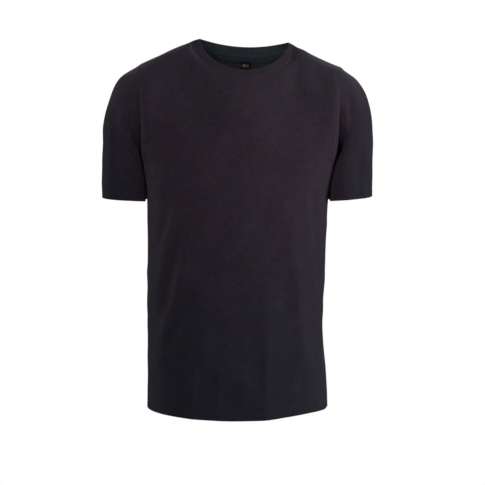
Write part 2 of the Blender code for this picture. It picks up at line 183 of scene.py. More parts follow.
world = bpy.data.worlds.new("room")
bpy.context.scene.world = world
world.use_nodes = True
tree = world.node_tree
tree.nodes.clear()
seen = added(tree, "Background", {"Color": (1, 1, 1, 1)})
around = added(tree, "Background", {"Color": (0.95, 0.97, 1.0, 1), "Strength": ROOM_LIGHT})
camera_ray = added(tree, "LightPath", output="Is Camera Ray")
both = added(tree, "MixShader", {"Fac": camera_ray, 1: around, 2: seen})
feed(tree, tree.nodes.new("ShaderNodeOutputWorld"), "Surface", both)
print("room light", ROOM_LIGHT)

# %% [markdown]
# ## The floor
#
# The floor is a pale disc well below the hem. Away from the shirt it brightens into the white of the room,
# as a photographer's paper sweep does, so no horizon crosses the view. It is drawn from above only.

# %% Floor
FLOOR_HEIGHT = -1.45
FLOOR_RADIUS = 3.0
SWEEP_START, SWEEP_END = 0.5, 2.3
FLOOR_GLOW = 0.66
FLOOR_COLOR = (0.40, 0.40, 0.41, 1)


def floor_material():
    made = bpy.data.materials.new("pale floor")
    made.use_nodes = True
    tree = made.node_tree
    paint = tree.nodes["Principled BSDF"]
    paint.inputs["Base Color"].default_value = FLOOR_COLOR
    paint.inputs["Roughness"].default_value = 0.8
    distance = added(tree, "VectorMath", {0: place_of(tree)}, "Value", operation="LENGTH")
    glow = mapped(tree, distance, SWEEP_START, SWEEP_END, FLOOR_GLOW)
    seen_glow = maths(tree, "MULTIPLY", glow, added(tree, "LightPath", output="Is Camera Ray"))
    white = added(tree, "Emission")
    sweep = added(tree, "MixShader", {"Fac": seen_glow, 1: paint.outputs["BSDF"], 2: white})
    from_below = added(tree, "NewGeometry", output="Backfacing")
    shown = {"Fac": from_below, 1: sweep, 2: added(tree, "BsdfTransparent")}
    feed(tree, tree.nodes["Material Output"], "Surface", added(tree, "MixShader", shown))
    return made


turn = np.linspace(0, 2 * math.pi, 96, endpoint=False)
rim = [(FLOOR_RADIUS * math.cos(a), FLOOR_RADIUS * math.sin(a), 0.0) for a in turn]
disc = bpy.data.meshes.new("floor")
disc.from_pydata(rim, [], [range(len(rim))])
disc.materials.append(floor_material())
floor = bpy.data.objects.new("floor", disc)
floor.location.z = FLOOR_HEIGHT
bpy.context.scene.collection.objects.link(floor)
print("floor", FLOOR_RADIUS * 2, "m across")

# %% [markdown]
# ## The body's sizes
#
# A body is described as a dressmaker would: how far it reaches to each side, to the front and to the back
# at a few heights. The shirt leans a little to one side, as a person does, so left and right have their own
# columns. Everything else, such as the shoulder slope and the neck, hangs on those numbers. They are the
# frame's own.

# %% Sizes of the torso, shoulders and neck
HEM = -0.708
HEM_DROP = {-1: 0.0083, +1: 0.0050}
HEM_LIFT_LEFT = 0.0038
HEM_DEPTH = 0.020
UNDERARM = -0.225
ROUNDNESS = 2.35
TORSO_COLUMNS = ("height", "right_side", "left_side", "front", "back")
TORSO = (
    (-0.708, 0.1747, 0.1768, 0.1200, 0.1220),
    (-0.650, 0.1740, 0.1742, 0.1185, 0.1190),
    (-0.556, 0.1740, 0.1665, 0.1150, 0.1130),
    (-0.450, 0.1737, 0.1700, 0.1140, 0.1085),
    (-0.350, 0.1735, 0.1740, 0.1175, 0.1110),
    (-0.300, 0.1745, 0.1770, 0.1205, 0.1145),
    (-0.225, 0.1820, 0.1935, 0.1240, 0.1200),
)
SHOULDER_COLUMNS = ("out", "right_side", "left_side")
SHOULDER = (
    (0.060, 0.0085, 0.0120),
    (0.085, 0.0030, 0.0050),
    (0.120, -0.0132, -0.0112),
    (0.145, -0.0230, -0.0234),
    (0.168, -0.0325, -0.0342),
    (0.200, -0.0484, -0.0478),
)
NECK_MIDDLE = 0.0135
# A loop is its half width, then the depth, drop and curve of its front, then those of its back.
SEAM_LOOP = (0.1005, 0.0965, 0.0587, 1.15, 0.0675, 0.0262, 1.60)
EDGE_LOOP = (0.0855, 0.0850, 0.0517, 1.20, 0.0620, 0.0142, 1.90)
NECK_RUN = 0.13
SHOULDER_RUN = 0.175
FILL_RUN = 0.085
FILL_STATION = 0.485
FILL_WIDTH = 0.16
print(len(TORSO), "rings from the hem to the underarm")

# %% Sizes of the sleeves
# A ring is how far out and how high its top is on the right and then on the left, its room under the arm and
# the height there, its depth in front and behind, and how far it wraps round in front and behind.
SLEEVE = (
    (0.187, -0.0420, 0.2005, -0.0475, 0.0000, -0.2250, 0.0740, 0.068, 0.000, 0.000),
    (0.2235, -0.0690, 0.2325, -0.0745, 0.0090, -0.2290, 0.0715, 0.073, 0.003, 0.002),
    (0.246, -0.1095, 0.253, -0.1115, 0.0090, -0.2400, 0.0660, 0.079, 0.010, 0.019),
    (0.2575, -0.1550, 0.260, -0.1560, 0.0060, -0.2555, 0.0600, 0.085, 0.016, 0.030),
    (0.2598, -0.2060, 0.2625, -0.2060, 0.0040, -0.2730, 0.0550, 0.088, 0.018, 0.032),
    (0.2597, -0.2520, 0.2612, -0.2520, 0.0035, -0.2892, 0.0520, 0.089, 0.018, 0.029),
    (0.2605, -0.2975, 0.261, -0.2952, 0.0035, -0.3045, 0.0500, 0.090, 0.018, 0.025),
)
SLEEVE_CLEAR = 0.0030
UNDERARM_V = 1.0
print(len(SLEEVE), "rings from each armhole to its cuff")

# %% [markdown]
# ## Smooth curves through a few sizes
#
# Between the sizes given, cloth runs smoothly. A cubic curve with its slope taken from the neighbours on
# both sides does that, and it passes exactly through each size. The same helper serves a row of numbers and
# a whole grid of points, because it works along the first axis of whatever it is given.

# %% Curve helpers
def column(columns, table, name):
    """One named column of a table, as an array."""
    return np.array([row[columns.index(name)] for row in table])


def eased(share):
    """0 to 1, slow at both ends."""
    share = np.clip(share, 0, 1)
    return share * share * (3 - 2 * share)


def cubic(t, start, leaving, end, arriving):
    """A curve from start to end as t goes from 0 to 1, with its slope at each."""
    return (
        start * (1 + 2 * t) * (1 - t) ** 2
        + leaving * t * (1 - t) ** 2
        + end * t * t * (3 - 2 * t)
        + arriving * t * t * (t - 1)
    )


def smooth(knots, values, at):
    """A smooth curve through the values at the knots, read at one or more places along the first axis."""
    knots, values = np.asarray(knots, float), np.asarray(values, float)
    slopes = np.gradient(values, knots, axis=0)
    at = np.clip(np.asarray(at, float), knots[0], knots[-1])
    place = np.clip(np.searchsorted(knots, at, side="right") - 1, 0, len(knots) - 2)
    spread = place.shape + (1,) * (values.ndim - 1)
    step = (knots[place + 1] - knots[place]).reshape(spread)
    t = (at - knots[place]).reshape(spread) / step
    return cubic(t, values[place], slopes[place] * step, values[place + 1], slopes[place + 1] * step)


def unit(vectors):
    """The same directions, each with length 1."""
    return vectors / np.linalg.norm(vectors, axis=-1)[..., None]


def run_along(line):
    """Length from the start of a line to each of its points, or down each column of a grid."""
    steps = np.linalg.norm(np.diff(line, axis=0), axis=-1)
    return np.concatenate([np.zeros_like(steps[:1]), np.cumsum(steps, axis=0)])


def read(line, run, at):
    """Points at some distances along a line. The run is the length at each of its own points."""
    return np.stack([np.interp(at, run, line[:, axis]) for axis in range(3)], axis=1)


def read_columns(grid, run, at):
    """The same down each column of a grid, with a column of distances for each."""
    return np.stack([read(grid[:, j], run[:, j], at[:, j]) for j in range(grid.shape[1])], axis=1)


def torso_size(name, height):
    return smooth(column(TORSO_COLUMNS, TORSO, "height"), column(TORSO_COLUMNS, TORSO, name), height)


def shoulder_height(x):
    heights = column(SHOULDER_COLUMNS, SHOULDER, "left_side" if x > 0 else "right_side")
    return smooth(column(SHOULDER_COLUMNS, SHOULDER, "out"), heights, abs(x))


print("at the waist the shirt is", round(2000 * float(torso_size("right_side", -0.45))), "mm across")

# %% [markdown]
# ## Rings and loops
#
# A torso under cloth is neither a circle nor a box. A superellipse lies between them: its corners are
# fuller than a circle's. The neck is two half loops, one for the front and one for the back, that share
# their ends at the shoulder seams. A sleeve is a fan of rings, from the armhole, which faces sideways, to
# the cuff, which faces down.

# %% Points on the torso
RING_SAMPLES = 361


def half_ring(height, face, stations):
    """Points across the front (face -1) or the back (face +1). A station is the share of the girth from the
    middle to a side seam, -1 on the right and +1 on the left."""
    right, left = torso_size("right_side", height), torso_size("left_side", height)
    depth = torso_size("front" if face < 0 else "back", height)
    angles = np.linspace(-math.pi / 2, math.pi / 2, RING_SAMPLES)
    across = np.sign(np.sin(angles)) * np.abs(np.sin(angles)) ** (2 / ROUNDNESS)
    x = across * np.where(across < 0, right, left)
    y = face * depth * np.abs(np.cos(angles)) ** (2 / ROUNDNESS)
    girth = np.concatenate([[0], np.cumsum(np.hypot(np.diff(x), np.diff(y)))])
    middle = girth[RING_SAMPLES // 2]
    share = np.where(girth < middle, girth / middle - 1, (girth - middle) / (girth[-1] - middle))
    place = [np.interp(stations, share, line) for line in (x, y)]
    return np.stack([*place, np.full(len(stations), height)], axis=1)


def torso_side(side, y, height):
    """How far out the torso reaches on one side, at a distance behind or before its side seam."""
    reach = torso_size("right_side" if side < 0 else "left_side", height)
    depth = torso_size("front" if y < 0 else "back", height)
    return reach * max(0.0, 1 - (abs(y) / depth) ** ROUNDNESS) ** (1 / ROUNDNESS)


print("the chest is", round(1000 * float(torso_size("front", UNDERARM))), "mm deep in front")

# %% Points on the neck
def neck_point(loop, angle, face):
    """A point on a neck loop. The angle is 0 at the middle and 90 degrees at a shoulder seam."""
    half_width, front, front_drop, front_curve, back, back_drop, back_curve = loop
    depth, drop, curve = (front, front_drop, front_curve) if face < 0 else (back, back_drop, back_curve)
    sideways, inward = math.sin(angle), max(math.cos(angle), 0.0)
    ends = [shoulder_height(NECK_MIDDLE + side * half_width) for side in (-1, 1)]
    level = ends[0] + (ends[1] - ends[0]) * (sideways + 1) / 2
    x, y = NECK_MIDDLE + half_width * sideways, face * depth * inward
    return np.array([x, y, level - drop * inward**curve])


print("the neck is", round(2000 * EDGE_LOOP[0]), "mm across inside its rib")

# %% Points on the sleeves
def sleeve_ring(row, side, rise, face):
    """A point on a sleeve ring. The rise is 0 at the underarm and 1 at the top."""
    *tops, clear, under_height, front, back, wrap_front, wrap_back = row
    along = rise * rise * (3 - 2 * rise)
    deep = 4 * rise * (1 - rise)
    depth, wrap = (front, wrap_front) if face < 0 else (back, wrap_back)
    under = torso_size("right_side" if side < 0 else "left_side", under_height) + clear
    top, top_height = tops[:2] if side < 0 else tops[2:]
    x = under + (top - under) * along - wrap * deep * (1 - along)
    y = face * depth * deep
    climb = along + UNDERARM_V * rise * (1 - rise) ** 2
    height = under_height + (top_height - under_height) * climb
    if clear and height < UNDERARM:
        over = torso_side(side, y, height) + SLEEVE_CLEAR - x
        x += 0.5 * (over + math.hypot(over, 0.002))
    return np.array([side * x, y, height])


print("the top of the right cuff is at", sleeve_ring(SLEEVE[-1], -1, 1.0, 1).round(3))

# %% [markdown]
# ## The front and back panels
#
# Up to the underarm a panel follows the rings. Above it, in the yoke, each column of points climbs over the
# chest to its own place on the neck or shoulder seam, and the inner points are then evened out, as
# stretched jersey evens itself. That coarse net is read again with the smooth curve to get the fine one.
# Its outer columns and its top row are taken straight from the sleeve and neck formulas, so that pieces
# that are sewn together have the very same points along their seam.

# %% Top edge of a panel
NECK_SHARE = 0.42
OVER_NECK, SHORT_OF_SHOULDER = 0.7, 0.3


def top_edge(face, station):
    """A point of a panel's top edge, and the run of the cloth across it: how far it keeps straight on."""
    side = -1 if station < 0 else 1
    if abs(station) <= NECK_SHARE:
        angle = math.pi / 2 * station / NECK_SHARE
        point = neck_point(SEAM_LOOP, angle, face)
        over = OVER_NECK * (station / NECK_SHARE) ** 2
    else:
        out = (abs(station) - NECK_SHARE) / (1 - NECK_SHARE)
        angle = side * math.pi / 2
        start = neck_point(SEAM_LOOP, angle, face)
        end = sleeve_ring(SLEEVE[0], side, 1.0, face)
        x = start[0] + (end[0] - start[0]) * out
        point = np.array([x, 0.0, shoulder_height(x) + (end[2] - shoulder_height(end[0])) * out])
        over = 1 - SHORT_OF_SHOULDER * max(0.0, 1 - out / 0.5) ** 2
    along_rib = neck_point(EDGE_LOOP, angle, face) - neck_point(SEAM_LOOP, angle, face)
    run = (1 - over) ** 2 * NECK_RUN * along_rib / np.linalg.norm(along_rib)
    fuller = FILL_RUN * math.exp(-(((abs(station) - FILL_STATION) / FILL_WIDTH) ** 2))
    run[1] -= face * (over * SHOULDER_RUN + fuller)
    return point, run


print("the left shoulder seam ends at", top_edge(-1, 1.0)[0].round(3))

# %% Coarse net of a panel
NECK_STEPS = 8
SHOULDER_STEPS = 12
TORSO_ROWS = 19
YOKE_ROWS = 12
YOKE_ROUNDS = 12
YOKE_EVENING = (0.5, -0.53)
YOKE_CLIMB = 1.15
SIDE_HOLD = 0.55
HEM_SHAPE_ENDS = 0.2


def relaxed(rows, first, rounds):
    """Evens out the inner points of the rows above the first, leaving the edges where they are."""
    rows = rows.copy()
    for _ in range(rounds):
        for share in YOKE_EVENING:
            middle = rows[first:-1, 1:-1]
            around = rows[first - 1 : -2, 1:-1] + rows[first + 1 :, 1:-1]
            around = (around + rows[first:-1, :-2] + rows[first:-1, 2:]) / 4
            rows[first:-1, 1:-1] = middle + share * (around - middle)
    return rows


over_neck = np.linspace(0, NECK_SHARE, NECK_STEPS + 1)
over_shoulder = np.linspace(NECK_SHARE, 1, SHOULDER_STEPS + 1)[1:]
STATIONS = np.concatenate([-over_shoulder[::-1], -over_neck[:0:-1], over_neck, over_shoulder])


def coarse_panel(face):
    """Rows of points for the front or the back, from the hem to the shoulder and neck seams."""
    heights = np.linspace(HEM, UNDERARM, TORSO_ROWS + 1)
    rows = [half_ring(height, face, STATIONS) for height in heights]
    drop = HEM_DROP[face] * np.cos(STATIONS * math.pi / 2) ** 2
    drop -= HEM_LIFT_LEFT * np.sin(math.pi * np.clip(STATIONS, 0, 1) ** 1.5) ** 2
    for row, height in zip(rows, heights):
        row[:, 2] -= drop * max(0.0, 1 - (height - HEM) / HEM_SHAPE_ENDS) ** 2
    chest = rows[-1]
    rising = (chest - half_ring(UNDERARM - 0.01, face, STATIONS)) / 0.01
    top, run = (np.array(found) for found in zip(*(top_edge(face, station) for station in STATIONS)))
    climb = YOKE_CLIMB * (top[:, 2] - chest[:, 2])
    hold = eased((np.abs(STATIONS) - 0.45) / SIDE_HOLD)
    for step in range(1, YOKE_ROWS + 1):
        t = step / YOKE_ROWS
        row = cubic(t, chest, rising * climb[:, None], top, run)
        for side, end in ((-1, 0), (1, -1)):
            half = np.sign(STATIONS) == side
            shift = sleeve_ring(SLEEVE[0], side, t, face) - row[end]
            row[half] += hold[half, None] * shift
        rows.append(row)
    return relaxed(np.array(rows), len(heights), YOKE_ROUNDS)


print("coarse net:", TORSO_ROWS + YOKE_ROWS + 1, "rows of", len(STATIONS), "points")

# %% Fine places along the rows and columns
CELL = 0.0036
EDGE_STEPS = np.array([0.0007, 0.0015, 0.0026])
NEEDLE_ROWS = (0.0125, 0.0185)
GROOVE_STEPS = (-0.0016, -0.0007, 0.0, 0.0007, 0.0016)
YOKE_STEP = 0.0165
TORSO_RISE = UNDERARM - HEM
ROW_KNOTS = np.concatenate(
    [np.linspace(0, TORSO_RISE, TORSO_ROWS + 1), TORSO_RISE + YOKE_STEP * np.arange(1, YOKE_ROWS + 1)]
)
YOKE_FINE = 5
YOKE_SPAN = YOKE_STEP * YOKE_ROWS

hem_places = [0.0, 0.0010, 0.0030, 0.0060, 0.0090, 0.0215, 0.0235]
hem_places += [row + step for row in NEEDLE_ROWS for step in GROOVE_STEPS]
HEM_PLACES = np.array(sorted(hem_places))
YOKE_SHARES = np.unique(
    np.concatenate(
        [
            np.linspace(0, 1, YOKE_ROWS * YOKE_FINE + 1),
            EDGE_STEPS[:2] / YOKE_SPAN,
            1 - EDGE_STEPS[:2] / YOKE_SPAN,
        ]
    )
)
FINE_ROWS = np.concatenate(
    [
        HEM_PLACES,
        np.linspace(HEM_PLACES[-1], TORSO_RISE, round((TORSO_RISE - HEM_PLACES[-1]) / CELL))[1:-1],
        TORSO_RISE + YOKE_SHARES * YOKE_SPAN,
    ]
)
HALF_GIRTH = 0.29
evenly = np.linspace(0, 1, 4 * (len(STATIONS) - 1) + 1)
between = np.interp(evenly, np.linspace(0, 1, len(STATIONS)), STATIONS)
near_sides = 1 - EDGE_STEPS / HALF_GIRTH, EDGE_STEPS / HALF_GIRTH - 1
FINE_STATIONS = np.unique(np.concatenate([between, *near_sides]).round(7))
print("fine net:", len(FINE_ROWS), "rows of", len(FINE_STATIONS), "points")

# %% Fine net of a panel
SEAM_REACH = 0.03


def fine_panel(face):
    """The panel's fine grid. Row 0 is the hem and the last row is the shoulder and neck seam."""
    grid = smooth(ROW_KNOTS, coarse_panel(face), FINE_ROWS)
    grid = smooth(STATIONS, grid.transpose(1, 0, 2), FINE_STATIONS).transpose(1, 0, 2)
    exact = np.array([top_edge(face, station)[0] for station in FINE_STATIONS])
    near_top = eased(1 - (FINE_ROWS[-1] - FINE_ROWS) / SEAM_REACH)
    grid += near_top[:, None, None] * (exact - grid[-1])
    first = len(FINE_ROWS) - len(YOKE_SHARES)
    for side, end in ((-1, 0), (1, -1)):
        seam = np.array([sleeve_ring(SLEEVE[0], side, share, face) for share in YOKE_SHARES])
        shift = seam - grid[first:, end]
        near_side = eased(1 - (1 - side * FINE_STATIONS) * HALF_GIRTH / SEAM_REACH)
        grid[first:] += near_side[None, :, None] * shift[:, None]
    return grid


print("a panel keeps to its seams within", round(1000 * SEAM_REACH), "mm of them")

# %% Fine net of a sleeve
SLEEVE_READ = 160
CUFF_BAND = 0.025


def fine_sleeve(side):
    """The sleeve's fine grid. Row 0 is the cuff, the last row is the armhole, and columns run round it."""
    rises = [(share, -1) for share in YOKE_SHARES] + [(share, 1) for share in YOKE_SHARES[-2:0:-1]]
    rings = np.array([[sleeve_ring(row, side, rise, face) for rise, face in rises] for row in SLEEVE])
    lines = smooth(np.linspace(0, 1, len(SLEEVE)), rings, np.linspace(1, 0, SLEEVE_READ))
    run = run_along(lines)
    longest = run[-1].max()
    evenly = np.linspace(CUFF_BAND, longest, round((longest - CUFF_BAND) / CELL))
    places = np.unique(np.concatenate([HEM_PLACES, evenly, longest - EDGE_STEPS]))[:, None]
    stretched = CUFF_BAND + (places - CUFF_BAND) * (run[-1] - CUFF_BAND) / (longest - CUFF_BAND)
    return read_columns(lines, run, np.where(places < CUFF_BAND, places, stretched))


print("rows keep their distance within", round(1000 * CUFF_BAND), "mm of the cuff")

# %% [markdown]
# ## The neck rib
#
# The rib is one strip, folded lengthwise and sewn in with the fold up. Its wales stand up as real ridges,
# and there are about 330 round the neck, so its grid is much finer along the neck than across it.

# %% Fine net of the rib
RIDGE_PITCH = 0.0017
RIDGE_SAMPLES = 6
RIB_ROWS = 12


def fine_rib():
    """The rib's grid. Row 0 is the folded edge and the last row is the neck seam."""
    angles = np.linspace(-math.pi / 2, math.pi / 2, 600)
    around = [(angle, -1) for angle in angles] + [(angle, 1) for angle in angles[-2:0:-1]]
    around.append(around[0])
    edge, seam = (np.array([neck_point(loop, *at) for at in around]) for loop in (EDGE_LOOP, SEAM_LOOP))
    run = run_along((edge + seam) / 2)
    ridges = round(run[-1] / RIDGE_PITCH)
    at = np.linspace(0, run[-1], ridges * RIDGE_SAMPLES, endpoint=False)
    share = np.linspace(0, 1, RIB_ROWS + 1)[:, None, None]
    return read(edge, run, at) * (1 - share) + read(seam, run, at) * share, ridges, run[-1]


rib_net, ridge_count, rib_length = fine_rib()
print("the rib has", ridge_count, "ridges in", round(1000 * rib_length), "mm")

# %% [markdown]
# ## Folds and creases
#
# Worn jersey pulls from the underarm down to the waist, hangs in long soft folds at the hem and bunches a
# little where the arm meets the chest. A fold is a path over the cloth with a rise, which is negative for a
# trough, and a width. The large folds are the frame's, but those down the two sides of the front lie a
# centimetre or two from where the frame has them, because soft light shows a fold's place more exactly than
# a plain solid needs it. The small creases are laid on them with a softer trough beside each ridge and with
# a strength that varies along the path, because no crease is even.

# %% Large folds
def in_metres(table):
    """Rows of piece, face, rise, width and path, from a table in millimetres."""
    return [
        (piece, face, rise / 1000, width / 1000, np.array(path) / 1000)
        for (piece, face), rows in table.items() for rise, width, path in rows
    ]


# For each piece and face: the rise, the width and the path in x and height, in millimetres.
FOLDS = {
    ("front", -1): (
        (3.6, 11.5, ((-102, -245), (-108, -282), (-120, -344), (-138, -412), (-156, -490), (-168, -545))),
        (-2.5, 9, ((-128, -290), (-138, -344), (-152, -385), (-163, -413), (-170, -440))),
        (-3.4, 12, ((-98, -300), (-106, -341), (-117, -410), (-139, -489), (-156, -540), (-168, -605))),
        (3.4, 12, ((-90, -350), (-99, -410), (-116, -489), (-143, -562), (-166, -630))),
        (-2.8, 11, ((-88, -440), (-95, -489), (-120, -554), (-150, -615))),
        (1.8, 12, ((-100, -530), (-107, -554), (-134, -600), (-160, -640))),
        (2.5, 12, ((-86, -570), (-87, -820))),
        (-4.5, 8, ((142, -240), (147, -300), (150, -345), (156, -412), (161, -468), (165, -520))),
        (2.8, 14, ((98, -290), (108, -410), (116, -467), (125, -565), (140, -650), (155, -740))),
        (-1.5, 18, ((88, -350), (92, -486), (94, -582), (96, -850))),
        (3, 18, ((58, -480), (55, -600), (53, -850))),
        (-2, 22, ((-60, -246), (44, -246), (120, -236))),
        (-3.5, 10, ((-178, -200), (-165, -177), (-150, -166), (-125, -150))),
    ),
    ("back", 1): (
        (-4, 15, ((-165, -215), (-128, -262), (-82, -330))),
        (3, 14, ((-172, -270), (-130, -318), (-70, -372))),
        (-4, 15, ((172, -212), (138, -255), (100, -312))),
        (-3.5, 17, ((-110, -408), (-20, -436), (70, -424))),
        (3, 17, ((-75, -480), (15, -494), (105, -470))),
        (3.5, 16, ((-95, -490), (-104, -620), (-108, -850))),
        (-3.5, 17, ((-48, -540), (-56, -640), (-60, -850))),
        (3, 16, ((90, -520), (102, -640), (108, -850))),
    ),
    ("sleeve_right", -1): (
        (-3.5, 10, ((-197, -70), (-199, -130), (-194, -215))),
        (-3, 12, ((-232, -105), (-233, -160), (-231, -250))),
    ),
    ("sleeve_right", 1): (
        (-3.5, 13, ((-200, -150), (-222, -200), (-240, -270))),
    ),
    ("sleeve_left", -1): (
        (-3.5, 11, ((212, -75), (216, -140), (207, -215))),
        (-2.5, 12, ((240, -160), (238, -230), (232, -330))),
    ),
    ("sleeve_left", 1): (
        (-3.5, 13, ((206, -140), (226, -190), (246, -250))),
    ),
}
folds = in_metres(FOLDS)
print(len(folds), "large folds")

# %% Small creases
CREASES = {
    ("front", -1): (
        (1.1, 5, ((-168, -214), (-152, -212), (-138, -205))),
        (1, 4.5, ((-170, -252), (-150, -250), (-134, -243))),
        (2.2, 5, ((-188, -192), (-170, -178), (-152, -172), (-130, -170))),
        (0.6, 7, ((110, -380), (116, -467), (126, -560), (138, -640))),
        (1, 7, ((58, -545), (56, -620), (54, -690))),
        (1, 5, ((176, -240), (160, -226), (142, -222))),
        (-0.7, 6, ((-35, -238), (20, -243), (70, -240))),
        (0.6, 5, ((-30, -430), (15, -437), (55, -430))),
        (-0.6, 5, ((-60, -500), (-15, -512), (30, -508))),
        (0.8, 6, ((-30, -600), (-34, -650), (-36, -700))),
    ),
    ("back", 1): (
        (1.2, 6, ((-168, -228), (-132, -275), (-92, -338))),
        (-1.1, 5.5, ((-170, -292), (-130, -340), (-85, -380))),
        (1.2, 6, ((170, -226), (136, -272), (104, -325))),
        (1, 6, ((172, -300), (130, -345), (80, -385))),
        (-1.1, 6, ((-98, -418), (-20, -446), (60, -436))),
        (1.1, 6, ((-62, -470), (15, -482), (92, -460))),
        (-1, 6.5, ((-40, -520), (30, -530), (110, -512))),
        (1, 6, ((-100, -540), (-105, -620), (-109, -695))),
        (1, 6, ((98, -560), (105, -640), (108, -700))),
        (-0.9, 6, ((30, -590), (33, -650), (34, -705))),
        (0.8, 6, ((-70, -150), (-30, -172), (20, -176))),
    ),
    ("sleeve_right", -1): (
        (1.2, 5, ((-193, -80), (-195, -125), (-191, -180))),
        (-1, 5, ((-212, -120), (-214, -175), (-206, -230))),
        (1, 6, ((-242, -130), (-243, -190), (-240, -262))),
    ),
    ("sleeve_right", 1): (
        (1.1, 5.5, ((-205, -165), (-226, -212), (-242, -280))),
        (-0.9, 5, ((-215, -130), (-236, -160), (-250, -200))),
    ),
    ("sleeve_left", -1): (
        (1.2, 5, ((205, -100), (209, -140), (204, -190))),
        (-0.9, 5, ((224, -130), (226, -180), (220, -240))),
        (0.9, 6, ((245, -180), (246, -230), (243, -280))),
    ),
    ("sleeve_left", 1): (
        (1.1, 5.5, ((212, -158), (230, -205), (246, -262))),
        (-0.9, 5, ((216, -120), (238, -150), (252, -190))),
    ),
}
FOLD_FADE = 0.30
SEAM_FADE = 0.030
CREASE_SEAM_FADE = 0.008
creases = in_metres(CREASES)
print(len(creases), "small creases")

# %% How far a place is from a fold
def beside(path, places):
    """How far each place (x, height) is from a path, negative to its left, and how far along that is."""
    path = np.array(path)
    lengths = np.linalg.norm(np.diff(path, axis=0), axis=1)
    off, along = np.full(places.shape[:-1], np.inf), np.zeros(places.shape[:-1])
    for k, (start, end) in enumerate(zip(path[:-1], path[1:])):
        run = end - start
        share = np.clip((places - start) @ run / lengths[k] ** 2, 0, 1)
        gap = places - start - share[..., None] * run
        away = np.linalg.norm(gap, axis=-1)
        side = np.where(run[0] * gap[..., 1] - run[1] * gap[..., 0] < 0, 1.0, -1.0)
        nearer = away < np.abs(off)
        off[nearer] = (away * side)[nearer]
        along[nearer] = ((lengths[:k].sum() + share * lengths[k]) / lengths.sum())[nearer]
    return off, along


def rounded(path, steps=24):
    """The path as a smooth curve."""
    path = np.array(path)
    run = run_along(path)
    return smooth(run, path, np.linspace(0, run[-1], steps))


def on_face(face, grid):
    """1 on the face that a fold belongs to, fading to 0 round the side."""
    return np.clip(0.3 + face * grid[:, :, 1] / 0.03, 0, 1)


print("10 mm beside a path:", *beside([(0, 0), (0, 0.1)], np.array([[-0.01, 0.05]])))

# %% How far folds lift the cloth
TROUGH_SHARE, TROUGH_AWAY, TROUGH_WIDTH = 0.45, 2.2, 1.4
CREASE_CHANGE, CREASE_BEATS, CREASE_SHIFT = 0.35, 2.3, 0.37


def fold_lift(name, grid):
    """How far the large folds lift each point."""
    lift = np.zeros(grid.shape[:2])
    for piece, face, rise, width, path in folds:
        if piece == name:
            off, along = beside(path, grid[:, :, [0, 2]])
            ends = eased(np.minimum(along, 1 - along) / FOLD_FADE)
            lift += rise * np.exp(-((off / width) ** 2)) * ends * on_face(face, grid)
    return lift


def crease_lift(name, grid):
    """How far the small creases lift each point: a ridge with a softer trough on one side."""
    lift = np.zeros(grid.shape[:2])
    for k, (piece, face, rise, width, path) in enumerate(creases):
        if piece == name:
            off, along = beside(rounded(path), grid[:, :, [0, 2]])
            ends = eased(np.minimum(along, 1 - along) / FOLD_FADE)
            uneven = 1 + CREASE_CHANGE * np.sin(2 * math.pi * (CREASE_BEATS * along + CREASE_SHIFT * k))
            beyond = (off - TROUGH_AWAY * width) / (TROUGH_WIDTH * width)
            trough = TROUGH_SHARE * np.exp(-(beyond**2))
            form = np.exp(-((off / width) ** 2)) - trough
            lift += rise * form * uneven * ends * on_face(face, grid)
    return lift


print("the trough beside a crease is", TROUGH_SHARE, "of its ridge")

# %% [markdown]
# ## Slack in the cloth
#
# Between its folds jersey is never quite even. A sum of a few slow waves in different directions gives it a
# soft, irregular surface. Their directions and lengths come from a seeded generator, so that the shirt is
# the same each time it is made.

# %% Slow waves
SLACK_RISE = 0.0005
SLACK_WAVES = 14
SLACK_LENGTHS = (0.030, 0.110)
SLACK_SEED = 11

draw = np.random.default_rng(SLACK_SEED)
slack_turns = unit(draw.normal(size=(SLACK_WAVES, 3)))
slack_lengths = draw.uniform(*SLACK_LENGTHS, SLACK_WAVES)
slack_starts = draw.uniform(0, 2 * math.pi, SLACK_WAVES)


def slack_lift(grid):
    """A soft unevenness at each point of a grid."""
    waves = np.sin(2 * math.pi * (grid @ slack_turns.T) / slack_lengths + slack_starts)
    return SLACK_RISE * (waves * slack_lengths / SLACK_LENGTHS[1]).sum(axis=-1)


print("slack of about", round(2000 * SLACK_RISE, 1), "mm")

# %% [markdown]
# ## Seams
#
# Where two pieces are sewn, both turn inwards, so a seam is a narrow valley. Each piece dips at its sewn
# edges by the same amount along the same direction, and they meet at the bottom of the valley. The neck
# seam is pressed flat and held by the stretch of the rib, so its valley is shallow.

# %% Distances and normals
def run_from(grid, axis, far_end):
    """Length along each row or column of a grid, from one end."""
    run = run_along(np.swapaxes(grid, 0, axis))
    return np.swapaxes(run[-1] - run if far_end else run, 0, axis)


def sewn_distances(grid, closed):
    """Distances from each point to each sewn edge of its piece."""
    distances = [run_from(grid, 0, True)]
    if not closed:
        distances += [run_from(grid, 1, False), run_from(grid, 1, True)]
    return distances


def normals_of(grid, closed, out):
    """Unit normals of a grid of points, from the rows and columns that pass through each."""
    up = np.gradient(grid, axis=0)
    if closed:
        across = np.roll(grid, -1, axis=1) - np.roll(grid, 1, axis=1)
    else:
        across = np.gradient(grid, axis=1)
    return unit(out * np.cross(across, up))


print("the rib's folded edge is", round(run_from(rib_net, 1, False)[0].max(), 3), "m long")

# %% A cut piece
NECK_EASE, NECK_EASE_IN = 0.02, 0.004
GROOVE_DEPTH, GROOVE_WIDTH = 0.00025, 0.0009


